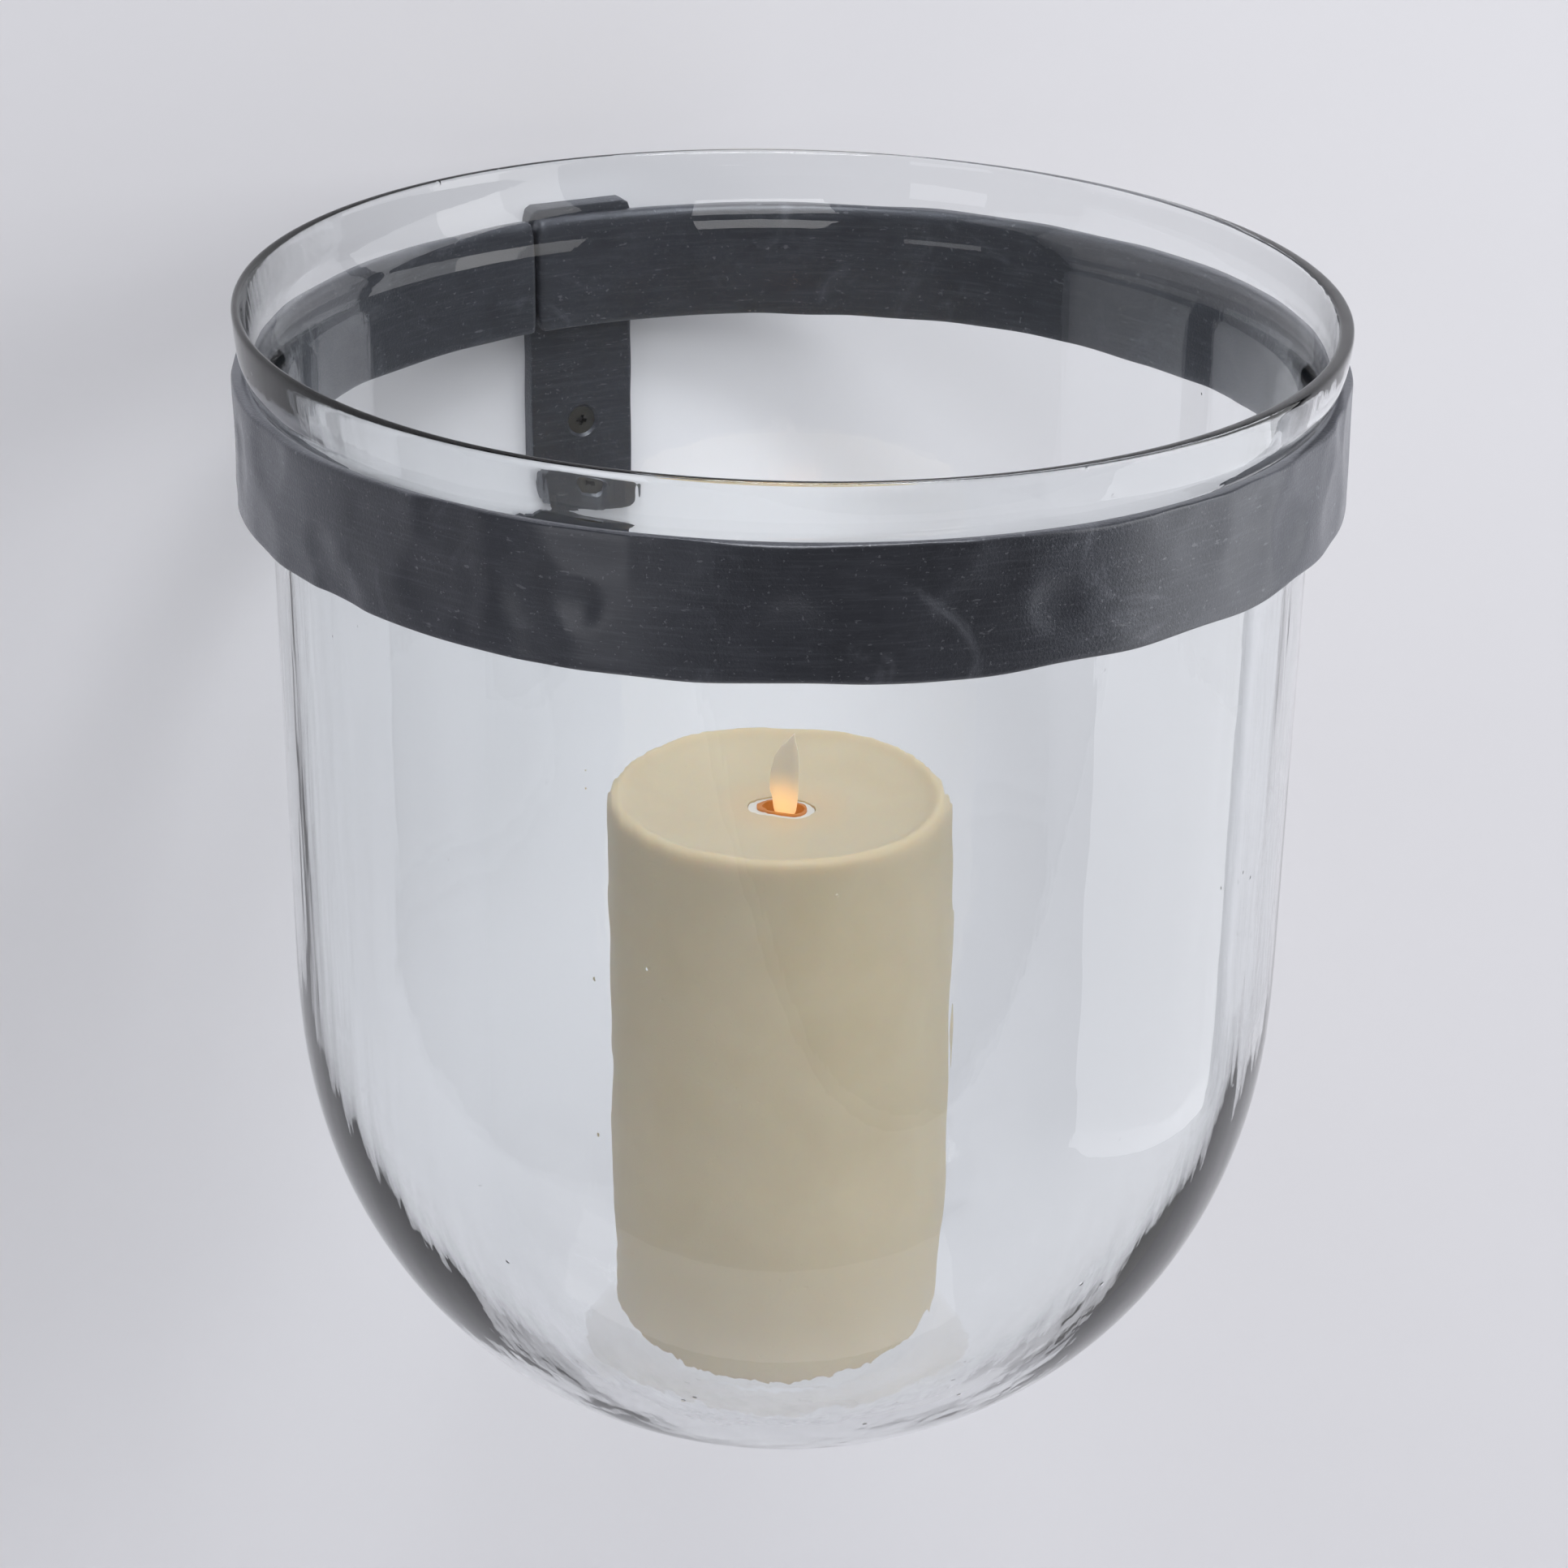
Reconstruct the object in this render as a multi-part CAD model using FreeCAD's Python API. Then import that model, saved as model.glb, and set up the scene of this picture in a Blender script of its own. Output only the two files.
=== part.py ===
"""Wall sconce candle holder: a bell of clear glass hung in an iron ring on a screwed wall plate, with a
moving-flame wax pillar candle standing inside it.

Frame, in millimetres: the wall is the plane y = 0, the sconce stands out towards -Y, and +Z is up. The
origin is on the wall plate's back face, halfway between the two wall screws.
"""
import FreeCAD, Part
import math
import os

Vector = FreeCAD.Vector
UP = Vector(0, 0, 1)
INTO_WALL = Vector(0, 1, 0)

# Wall bracket: one flat bar section makes the ring and the plate
BAR_WIDTH = 35.0
BAR_THICKNESS = 6.0
RING_OUTER_R = 157.0
RING_TOP_Z = 88.0
RING_SEAT_BEVEL = 1.5
RING_SEAM_GAP = 0.5
RING_EDGE_ROUND = 0.8
RING_SET_IN = 0.4            # depth of the flat where the ring meets the plate
PLATE_TOP_Z = 90.5
PLATE_BOTTOM_Z = -32.0
PLATE_CORNER_R = 7.0
PLATE_TOP_BEVEL = 3.0
WELD_LEG = 4.0
WELD_LENGTH = 29.0

# Countersunk wall screws
SCREW_SPACING = 40.0
SCREW_HOLE_R = 2.9
SCREW_THREAD_R = 2.4
SCREW_NECK_R = 1.9
SCREW_HEAD_R = 4.7
SCREW_HEAD_SET_BACK = 0.7    # the head's top lies this far under the plate's face
SCREW_THREAD_LENGTH = 28.0
SCREW_TIP_LENGTH = 5.0
COUNTERSINK_R = 5.4
CROSS_WIDTH = 1.3
CROSS_LENGTH = 5.0
CROSS_DEPTH = 1.8

# Glass vessel, measured down from its rim
RIM_Z = 106.0
RIM_R = 156.0
RIM_TILT_DEG = 0.75          # the blown rim is ground a little out of square, lower towards +X
RIM_THICKNESS = 3.4
RIM_ROUND = 1.1
WALL_THICKNESS = 3.6
BASE_THICKNESS = 9.0
BODY_TOP_R = 147.2
BODY_TOP_DEPTH = 30.0
BOWL_R = 144.8
BOWL_START_DEPTH = 199.0
BOWL_DEPTH = 148.5
BOWL_EXPONENT = 2.163

# Candle, measured up from its base
CANDLE_X = -1.7
CANDLE_BASE_Z = -224.7
WAX_R = 50.8
WAX_HEIGHT = 181.0
WAX_DISH_R = 45.0
WAX_DISH_DEPTH = 6.0
CAVITY_R = 41.0
CAVITY_TOP = 156.0
FIT_GAP = 0.2                # between moulded parts of the candle
CORE_WALL = 2.2
CORE_BOTTOM = 4.2
CORE_TOP_PLATE = 3.0
LEDGE_DEPTH = 3.6
BOARD_TOP = 134.6
BOARD_THICKNESS = 1.6
BASE_CAP_BOTTOM = 1.0
BASE_CAP_THICKNESS = 3.0
BASE_SCREW_CIRCLE_R = 36.0
BASE_SCREW_ANGLES = (-35.0, 90.0, 215.0)
BOARD_SCREW_ANGLES = (0.0, 120.0, 240.0)

# Flame and its well
FLAME_TURN_DEG = -40.0       # the blade's width lies this far round from +X
WELL_LENGTH = 17.0
WELL_WIDTH = 10.0
WELL_WALL = 2.0
WELL_TOP = 174.6
COLLAR_WALL = 1.0
COLLAR_HEIGHT = 6.0
PIVOT_HEIGHT = 171.0
PIVOT_WIRE_R = 0.4
PIVOT_HOLE_R = 0.45
BLADE_THICKNESS = 1.2
STEM_WIDTH = 3.4
STEM_LENGTH = 18.5
MAGNET_R = 2.5
MAGNET_THICKNESS = 4.0
LED_R = 1.5
LED_SET_OFF = 3.3            # from the blade's middle plane
LED_BASE_HEIGHT = 158.0
LED_LENGTH = 5.5

# Drive coil
BOBBIN_FLANGE_R = 9.0
BOBBIN_CORE_R = 3.5
BOBBIN_BORE_R = 1.5
BOBBIN_HEIGHT = 11.0
BOBBIN_FLANGE = 1.2

# Battery compartment and switch, in the candle's base
CELL_R = 13.1
CELL_HEIGHT = 50.0
CELL_OFFSET = 14.2
CELL_BASE = 8.0
CELL_BUTTON_R = 3.0
CELL_BUTTON_HEIGHT = 1.5
TRAY_Y = 4.0
TRAY_WALL = 2.0
DOOR_LENGTH = 58.0
DOOR_WIDTH = 30.0
DOOR_THICKNESS = 2.0
DOOR_CORNER_R = 4.0
DOOR_SCREW_Y = 15.5
STRIP_THICKNESS = 0.4
STRIP_WIDTH = 5.0
SPRING_R = 4.5
SPRING_WIRE_R = 0.4
SPRING_TURNS = 3
SWITCH_Y = -27.0
SWITCH_BODY = (13.0, 7.5, 6.5)
SWITCH_TRAVEL = 3.5
SLIDER_SIZE = (4.0, 3.6)
SLIDER_GAP = 0.4

# Worked-out places
AXIS_Y = -(RING_OUTER_R - RING_SET_IN + BAR_THICKNESS)
RING_INNER_R = RING_OUTER_R - BAR_THICKNESS
RING_BOTTOM_Z = RING_TOP_Z - BAR_WIDTH
TRAY_TOP = CELL_BASE + CELL_HEIGHT + CELL_BUTTON_HEIGHT
CORE_TOP = CAVITY_TOP - FIT_GAP
CORE_R = CAVITY_R - FIT_GAP
CORE_INNER_R = CORE_R - CORE_WALL


# ---- small tools -------------------------------------------------------------------------------------
def cylinder(radius, bottom, top, x=0.0, y=0.0):
    return Part.makeCylinder(radius, top - bottom, Vector(x, y, bottom), UP)


def block(length, width, bottom, top, x=0.0, y=0.0):
    """An upright box centred on x, y."""
    corner = Vector(x - length / 2, y - width / 2, bottom)
    return Part.makeBox(length, width, top - bottom, corner)


def slot_prism(length, width, bottom, top, x=0.0, y=0.0):
    """An upright prism with round ends, long along X."""
    reach = (length - width) / 2
    middle = block(2 * reach, width, bottom, top, x, y)
    ends = [cylinder(width / 2, bottom, top, x + side * reach, y) for side in (-1, 1)]
    return middle.multiFuse(ends).removeSplitter()


def rounded_block(length, width, corner, bottom, top, x=0.0, y=0.0):
    """An upright box with its four upright edges rounded."""
    box = block(length, width, bottom, top, x, y)
    upright = [e for e in box.Edges if abs(e.tangentAt(e.FirstParameter).z) > 0.99]
    return box.makeFillet(corner, upright)


def lathe(edges, x=0.0, y=0.0):
    """Turns a closed outline, drawn in the XZ plane at y = 0, once round the Z axis."""
    face = Part.Face(Part.Wire(edges))
    turned = face.revolve(Vector(0, 0, 0), UP, 360)
    turned.translate(Vector(x, y, 0))
    return turned


def line(a, b):
    return Part.makeLine(Vector(a[0], 0, a[1]), Vector(b[0], 0, b[1]))


def smooth_edge(points, first_dir, last_dir):
    """A smooth curve through points (r, z) that leaves and arrives along the two directions."""
    curve = Part.BSplineCurve()
    curve.interpolate([Vector(r, 0, z) for r, z in points],
                      InitialTangent=Vector(first_dir[0], 0, first_dir[1]),
                      FinalTangent=Vector(last_dir[0], 0, last_dir[1]))
    return curve.toShape()


def ring_of(radius, angles, make):
    """One copy of make(x, y) at each angle round a circle."""
    places = [math.radians(a) for a in angles]
    return [make(radius * math.cos(a), radius * math.sin(a)) for a in places]


def in_candle(shape):
    """Moves a shape drawn round the candle's own axis and base into the sconce's frame."""
    shape.translate(Vector(CANDLE_X, AXIS_Y, CANDLE_BASE_Z))
    return shape


def turned_with_flame(shape):
    shape.rotate(Vector(0, 0, 0), UP, FLAME_TURN_DEG)
    return shape


def save(name, *shapes):
    """Writes a node: one solid, or a group of separate ones."""
    shape = shapes[0] if len(shapes) == 1 else Part.makeCompound(list(shapes))
    solids = shape.Solids
    sound = all(s.isValid() and s.Volume > 0 for s in solids)
    if not solids or not sound:
        raise ValueError(name + " is not a closed solid")
    out = solids[0] if len(solids) == 1 else Part.makeCompound(solids)
    out.exportStep("parts/" + name + ".step")
    print(name, len(solids), "solid(s)", round(sum(s.Volume for s in solids)), "mm3")


# ---- wall bracket ------------------------------------------------------------------------------------
def make_ring():
    """Flat bar rolled into a ring, flattened where it meets the plate, its two ends butted together."""
    ro, ri = RING_OUTER_R, RING_INNER_R
    top, bottom, edge, seat = RING_TOP_Z, RING_BOTTOM_Z, RING_EDGE_ROUND, RING_SEAT_BEVEL
    corners = [(ri, bottom + edge), (ri + edge, bottom), (ro - edge, bottom), (ro, bottom + edge),
               (ro, top - edge), (ro - edge, top), (ri + seat, top), (ri, top - seat)]
    outline = [line(a, b) for a, b in zip(corners, corners[1:] + corners[:1])]
    ring = lathe(outline, 0, AXIS_Y)
    wall_side = Part.makeBox(2 * ro, BAR_THICKNESS, 2 * ro, Vector(-ro, -BAR_THICKNESS, -ro))
    seam = Part.makeBox(RING_SEAM_GAP, 2 * BAR_THICKNESS + 2, 2 * BAR_WIDTH,
                        Vector(-BAR_WIDTH / 2, -2 * BAR_THICKNESS - 2, bottom - BAR_WIDTH / 2))
    return ring.cut(wall_side).cut(seam)


def make_plate():
    """Upright flat bar: bevelled top corners, rounded bottom corners, two countersunk holes."""
    half = BAR_WIDTH / 2
    plate = Part.makeBox(BAR_WIDTH, BAR_THICKNESS, PLATE_TOP_Z - PLATE_BOTTOM_Z,
                         Vector(-half, -BAR_THICKNESS, PLATE_BOTTOM_Z))
    across = [e for e in plate.Edges if abs(e.tangentAt(e.FirstParameter).y) > 0.99]
    low = [e for e in across if e.CenterOfMass.z < 0]
    plate = plate.makeFillet(PLATE_CORNER_R, low)
    across = [e for e in plate.Edges if e.CenterOfMass.z > PLATE_TOP_Z - 1 and e.Length < BAR_THICKNESS + 1]
    plate = plate.makeChamfer(PLATE_TOP_BEVEL, [e for e in across if abs(e.CenterOfMass.x) > half - 1])
    cone_depth = COUNTERSINK_R - SCREW_HOLE_R
    for z in (-SCREW_SPACING / 2, SCREW_SPACING / 2):
        face = Vector(0, -BAR_THICKNESS, z)
        plate = plate.cut(Part.makeCone(COUNTERSINK_R, SCREW_HOLE_R, cone_depth, face, INTO_WALL))
        plate = plate.cut(Part.makeCylinder(SCREW_HOLE_R, BAR_THICKNESS, face, INTO_WALL))
    return plate


def make_plate_welds():
    """A fillet weld down each side of the plate, where its edge meets the ring's back."""
    half = BAR_WIDTH / 2
    bottom = (RING_TOP_Z + RING_BOTTOM_Z - WELD_LENGTH) / 2
    ring_body = cylinder(RING_OUTER_R, RING_BOTTOM_Z, RING_TOP_Z, 0, AXIS_Y)
    beads = []
    for side in (-1, 1):
        corners = [Vector(side * half, -BAR_THICKNESS - 2, bottom),
                   Vector(side * half, -BAR_THICKNESS + WELD_LEG, bottom),
                   Vector(side * (half + 2 * WELD_LEG), -BAR_THICKNESS - 2, bottom)]
        outline = Part.Wire(Part.makePolygon(corners + corners[:1]))
        beads.append(Part.Face(outline).extrude(Vector(0, 0, WELD_LENGTH)).cut(ring_body))
    return beads


def make_wall_screw(z):
    """Countersunk cross-head wood screw. The thread stands as a plain cylinder of its outer size."""
    head_y = -BAR_THICKNESS + SCREW_HEAD_SET_BACK
    cone_y = head_y + COUNTERSINK_R - SCREW_HEAD_SET_BACK - SCREW_HEAD_R
    neck_y = cone_y + SCREW_HEAD_R - SCREW_NECK_R
    head = Part.makeCone(SCREW_HEAD_R, SCREW_NECK_R, neck_y - cone_y, Vector(0, cone_y, z), INTO_WALL)
    if cone_y > head_y:
        head = head.fuse(Part.makeCylinder(SCREW_HEAD_R, cone_y - head_y, Vector(0, head_y, z), INTO_WALL))
    neck = Part.makeCylinder(SCREW_NECK_R, -neck_y, Vector(0, neck_y, z), INTO_WALL)
    thread = Part.makeCylinder(SCREW_THREAD_R, SCREW_THREAD_LENGTH, Vector(0, 0, z), INTO_WALL)
    tip = Part.makeCone(SCREW_THREAD_R, 0.3, SCREW_TIP_LENGTH, Vector(0, SCREW_THREAD_LENGTH, z), INTO_WALL)
    screw = head.multiFuse([neck, thread, tip]).removeSplitter()
    for turn in (0, 90):
        arm = Part.makeBox(CROSS_LENGTH, CROSS_DEPTH, CROSS_WIDTH,
                           Vector(-CROSS_LENGTH / 2, head_y, z - CROSS_WIDTH / 2))
        arm.rotate(Vector(0, head_y, z), INTO_WALL, turn)
        screw = screw.cut(arm)
    return screw


# ---- glass vessel ------------------------------------------------------------------------------------
def bowl_curve(radius, depth, from_centre):
    """A quarter of a superellipse below the vessel's straight wall, as an edge."""
    steps = 14
    points = []
    for i in range(steps + 1):
        angle = math.pi / 2 * i / steps
        r = radius * max(math.cos(angle), 0.0) ** (2 / BOWL_EXPONENT) if i < steps else 0.0
        z = depth * math.sin(angle) ** (2 / BOWL_EXPONENT)
        points.append((r, RIM_Z - BOWL_START_DEPTH - z))
    if from_centre:
        return smooth_edge(points[::-1], (1, 0), (0, 1))
    return smooth_edge(points, (0, -1), (-1, 0))


def make_glass_vessel():
    """Blown bell: a collar whose shoulder sits in the ring, a nearly straight wall and a round bottom."""
    rim, body_r, wall = RIM_Z + 4.0, BODY_TOP_R, WALL_THICKNESS
    outer_shoulder = [(RIM_R - 0.8, RIM_Z - 9.0), (RIM_R - 1.9, RIM_Z - 14.0), (151.6, RIM_Z - 18.2),
                      (149.2, RIM_Z - 21.4), (147.8, RIM_Z - 25.2), (body_r, RIM_Z - BODY_TOP_DEPTH)]
    inner_r = RIM_R - RIM_THICKNESS
    inner_shoulder = [(body_r - wall, RIM_Z - BODY_TOP_DEPTH - 1.5), (144.4, RIM_Z - 26.5),
                      (146.3, RIM_Z - 22.4), (149.0, RIM_Z - 18.6), (150.9, RIM_Z - 14.4),
                      (inner_r - 0.7, RIM_Z - 9.0)]
    bowl_z = RIM_Z - BOWL_START_DEPTH
    bowl_inner_r, bowl_inner_depth = BOWL_R - wall, BOWL_DEPTH - BASE_THICKNESS
    outline = [
        line((RIM_R, rim), outer_shoulder[0]),
        smooth_edge(outer_shoulder, (-0.09, -1), (0, -1)),
        line(outer_shoulder[-1], (BOWL_R, bowl_z)),
        bowl_curve(BOWL_R, BOWL_DEPTH, False),
        line((0, bowl_z - BOWL_DEPTH), (0, bowl_z - bowl_inner_depth)),
        bowl_curve(bowl_inner_r, bowl_inner_depth, True),
        line((bowl_inner_r, bowl_z), inner_shoulder[0]),
        smooth_edge(inner_shoulder, (0, 1), (0.09, 1)),
        line(inner_shoulder[-1], (inner_r, rim)),
        line((inner_r, rim), (RIM_R, rim)),
    ]
    vessel = lathe(outline, 0, AXIS_Y)
    above = Part.makeBox(4 * RIM_R, 4 * RIM_R, 4 * RIM_R, Vector(-2 * RIM_R, AXIS_Y - 2 * RIM_R, RIM_Z))
    above.rotate(Vector(0, AXIS_Y, RIM_Z), Vector(0, 1, 0), RIM_TILT_DEG)
    vessel = vessel.cut(above)
    rim_edges = [e for e in vessel.Edges if e.CenterOfMass.z > RIM_Z - 3 and e.Length > 4 * RIM_R]
    return vessel.makeFillet(RIM_ROUND, rim_edges)


# ---- candle: wax and core ----------------------------------------------------------------------------
def make_wax_pillar():
    """Wax sleeve with a melted-looking dish on top, hollow below for the core, slotted for the flame."""
    top, dish = WAX_HEIGHT, WAX_HEIGHT - WAX_DISH_DEPTH
    bottom_round, lip_round = 1.5, 2.5
    start, end = (CAVITY_R, 0), (WAX_R - bottom_round, 0)
    side_top = (WAX_R, top - lip_round)
    dish_points = [(WAX_R - lip_round, top), (WAX_DISH_R, top - 1.2), (24.0, dish + 0.6), (0, dish)]
    outline = [
        line(start, end), line(end, (WAX_R, bottom_round)), line((WAX_R, bottom_round), side_top),
        Part.Arc(Vector(side_top[0], 0, side_top[1]),
                 Vector(WAX_R - lip_round * (1 - math.cos(math.pi / 4)), 0,
                        top - lip_round * (1 - math.sin(math.pi / 4))),
                 Vector(WAX_R - lip_round, 0, top)).toShape(),
        smooth_edge(dish_points, (-1, 0), (-1, 0)),
        line((0, dish), (0, CAVITY_TOP)), line((0, CAVITY_TOP), (CAVITY_R, CAVITY_TOP)),
        line((CAVITY_R, CAVITY_TOP), start),
    ]
    wax = lathe(outline)
    neck_room = slot_prism(WELL_LENGTH + 2 * (WELL_WALL + FIT_GAP), WELL_WIDTH + 2 * (WELL_WALL + FIT_GAP),
                           CAVITY_TOP - 1, top + 1)
    return wax.cut(turned_with_flame(neck_room))


def make_core_housing():
    """Moulded tube with a closed top, a ledge for the board, screw bosses and the flame's neck."""
    core = cylinder(CORE_R, CORE_BOTTOM, CORE_TOP).cut(
        cylinder(CORE_INNER_R, CORE_BOTTOM - 1, CORE_TOP - CORE_TOP_PLATE))
    ledge = cylinder(CORE_INNER_R + 0.5, BOARD_TOP, BOARD_TOP + LEDGE_DEPTH).cut(
        cylinder(CORE_INNER_R - LEDGE_DEPTH, BOARD_TOP - 1, BOARD_TOP + LEDGE_DEPTH + 1))
    bosses = ring_of(BASE_SCREW_CIRCLE_R, BASE_SCREW_ANGLES,
                     lambda x, y: cylinder(3.4, CORE_BOTTOM, CORE_BOTTOM + 16, x, y))
    trim = cylinder(CORE_R, CORE_BOTTOM, CORE_TOP)
    board_bosses = ring_of(CORE_INNER_R - 4.0, BOARD_SCREW_ANGLES,
                           lambda x, y: cylinder(3.0, BOARD_TOP, BOARD_TOP + 8, x, y))
    core = core.multiFuse([ledge] + [b.common(trim) for b in bosses + board_bosses])
    neck = slot_prism(WELL_LENGTH + 2 * WELL_WALL, WELL_WIDTH + 2 * WELL_WALL, CORE_TOP - 1, WELL_TOP)
    well = slot_prism(WELL_LENGTH, WELL_WIDTH, CORE_TOP - CORE_TOP_PLATE - 1, WELL_TOP + 1)
    shelf = block(5.2, WELL_WIDTH / 2 - 1.4, LED_BASE_HEIGHT - 3, LED_BASE_HEIGHT,
                  0, -(WELL_WIDTH / 2 + 1.4) / 2)
    lamp_hole = cylinder(LED_R, LED_BASE_HEIGHT - 4, LED_BASE_HEIGHT + 1, 0, -LED_SET_OFF)
    core = core.fuse(turned_with_flame(neck)).cut(turned_with_flame(well))
    core = core.fuse(turned_with_flame(shelf)).cut(turned_with_flame(lamp_hole))
    pilots = ring_of(BASE_SCREW_CIRCLE_R, BASE_SCREW_ANGLES,
                     lambda x, y: cylinder(1.2, CORE_BOTTOM - 1, CORE_BOTTOM + 11, x, y))
    pilots += ring_of(CORE_INNER_R - 4.0, BOARD_SCREW_ANGLES,
                      lambda x, y: cylinder(1.0, BOARD_TOP - 1, BOARD_TOP + 6, x, y))
    return core.cut(Part.makeCompound(pilots)).cut(turned_with_flame(pivot_wire_shape())).removeSplitter()


def pivot_wire_shape():
    """Fine steel wire across the well, drawn before the flame's turn."""
    half = WELL_WIDTH / 2 + 1.2
    return Part.makeCylinder(PIVOT_WIRE_R, 2 * half, Vector(0, -half, PIVOT_HEIGHT), INTO_WALL)


def make_flame_collar():
    """Thin amber liner round the mouth of the well."""
    top = WELL_TOP + 0.6
    outer = slot_prism(WELL_LENGTH - 0.02, WELL_WIDTH - 0.02, top - COLLAR_HEIGHT, top)
    inner = slot_prism(WELL_LENGTH - 2 * COLLAR_WALL, WELL_WIDTH - 2 * COLLAR_WALL,
                       top - COLLAR_HEIGHT - 1, top + 1)
    return turned_with_flame(outer.cut(inner).cut(pivot_wire_shape()))


def make_led_lamp():
    """Small round-topped lamp that shines up the blade, with its two legs."""
    body = cylinder(LED_R, LED_BASE_HEIGHT - 3, LED_BASE_HEIGHT + LED_LENGTH - LED_R - 3, 0, -LED_SET_OFF)
    dome = Part.makeSphere(LED_R, Vector(0, -LED_SET_OFF, LED_BASE_HEIGHT + LED_LENGTH - LED_R - 3))
    legs = [cylinder(0.25, BOARD_TOP, LED_BASE_HEIGHT - 2.5, side * 0.7, -LED_SET_OFF) for side in (-1, 1)]
    return turned_with_flame(body.multiFuse([dome] + legs))


# ---- candle: flame and its drive ---------------------------------------------------------------------
def flame_outline():
    """The blade above the pivot: round shoulder, tip blown over to one side, then the narrow stem."""
    half = STEM_WIDTH / 2
    right = [(half, 1.5), (4.6, 7.0), (5.9, 12.5), (5.6, 19.0), (3.9, 28.6)]
    left = [(3.9, 28.6), (-0.9, 24.0), (-4.6, 17.5), (-5.7, 11.5), (-4.4, 6.5), (-half, 1.5)]
    foot = -STEM_LENGTH
    return [line((-half, foot), (half, foot)), line((half, foot), right[0]),
            smooth_edge(right, (0.2, 1), (-0.45, 1)), smooth_edge(left, (-0.9, -0.8), (0.2, -1)),
            line(left[-1], (-half, foot))]


def make_flame_blade():
    """Thin moulded flame that hangs on the wire, with a stem down to its magnet."""
    face = Part.Face(Part.Wire(flame_outline()))
    blade = face.extrude(Vector(0, BLADE_THICKNESS, 0))
    blade.translate(Vector(0, -BLADE_THICKNESS / 2, 0))
    start = Vector(0, -2 * BLADE_THICKNESS, 0)
    hole = Part.makeCylinder(PIVOT_HOLE_R, 4 * BLADE_THICKNESS, start, INTO_WALL)
    blade = blade.cut(hole)
    blade.translate(Vector(0, 0, PIVOT_HEIGHT))
    return turned_with_flame(blade)


def make_flame_magnet():
    """Disc magnet under the stem."""
    top = PIVOT_HEIGHT - STEM_LENGTH
    return cylinder(MAGNET_R, top - MAGNET_THICKNESS, top)


def make_coil_bobbin():
    """Spool for the drive coil, standing on the board."""
    top = BOARD_TOP + BOBBIN_HEIGHT
    spool = cylinder(BOBBIN_CORE_R, BOARD_TOP, top)
    flanges = [cylinder(BOBBIN_FLANGE_R, BOARD_TOP, BOARD_TOP + BOBBIN_FLANGE),
               cylinder(BOBBIN_FLANGE_R, top - BOBBIN_FLANGE, top)]
    return spool.multiFuse(flanges).cut(cylinder(BOBBIN_BORE_R, BOARD_TOP - 1, top + 1)).cut(led_leg_room())


def led_leg_room():
    """Notch in the spool's flanges where the lamp's legs pass."""
    return turned_with_flame(block(2.4, 1.2, BOARD_TOP - 1, BOARD_TOP + BOBBIN_HEIGHT + 1, 0, -LED_SET_OFF))


def make_drive_coil():
    """Winding of enamelled copper wire, as one ring of its outer size."""
    bottom, top = BOARD_TOP + BOBBIN_FLANGE, BOARD_TOP + BOBBIN_HEIGHT - BOBBIN_FLANGE
    coil = cylinder(BOBBIN_FLANGE_R - 0.8, bottom, top).cut(cylinder(BOBBIN_CORE_R, bottom - 1, top + 1))
    return coil.cut(led_leg_room())


def make_circuit_board():
    """Round board under the ledge, with its chip."""
    bottom = BOARD_TOP - BOARD_THICKNESS
    board = cylinder(CORE_INNER_R - 0.3, bottom, BOARD_TOP)
    chip = block(8, 6, bottom - 1.6, bottom, 14, 10)
    holes = ring_of(CORE_INNER_R - 4.0, BOARD_SCREW_ANGLES,
                    lambda x, y: cylinder(1.3, bottom - 1, BOARD_TOP + 1, x, y))
    return board.fuse(chip).cut(Part.makeCompound(holes))


def self_tapping_screw(head_bottom, head_top, shank_top, head_r, shank_r, x, y):
    """Short screw driven upwards, with a cross slot under its head."""
    screw = cylinder(head_r, head_bottom, head_top, x, y).fuse(cylinder(shank_r, head_top, shank_top, x, y))
    for length, width in ((1.4 * head_r, 0.5), (0.5, 1.4 * head_r)):
        screw = screw.cut(block(length, width, head_bottom - 1, head_bottom + 0.7, x, y))
    return screw


def make_board_screws():
    bottom = BOARD_TOP - BOARD_THICKNESS
    return ring_of(CORE_INNER_R - 4.0, BOARD_SCREW_ANGLES,
                   lambda x, y: self_tapping_screw(bottom - 1.5, bottom, BOARD_TOP + 5.5, 2.2, 1.0, x, y))


# ---- candle: base, batteries and switch --------------------------------------------------------------
def make_battery_tray():
    """Moulded holder with two round wells, closed on top, with a boss for the door's screw."""
    top = TRAY_TOP + TRAY_WALL
    outer = slot_prism(2 * (CELL_OFFSET + CELL_R + TRAY_WALL + 0.4), 2 * (CELL_R + TRAY_WALL + 0.4),
                       CORE_BOTTOM, top, 0, TRAY_Y)
    wells = [cylinder(CELL_R + 0.4, CORE_BOTTOM - 1, TRAY_TOP, side * CELL_OFFSET, TRAY_Y)
             for side in (-1, 1)]
    waist = block(2 * CELL_OFFSET, 10, CORE_BOTTOM - 1, TRAY_TOP, 0, TRAY_Y - 1)
    slits = [block(STRIP_WIDTH + 0.6, STRIP_THICKNESS + 0.6, TRAY_TOP - 1, top + 1,
                   side * CELL_OFFSET, TRAY_Y) for side in (-1, 1)]
    pilot = cylinder(1.0, CORE_BOTTOM - 1, CORE_BOTTOM + 9, 0, DOOR_SCREW_Y)
    return outer.cut(Part.makeCompound(wells)).cut(waist).cut(Part.makeCompound(slits)).cut(pilot)


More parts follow.
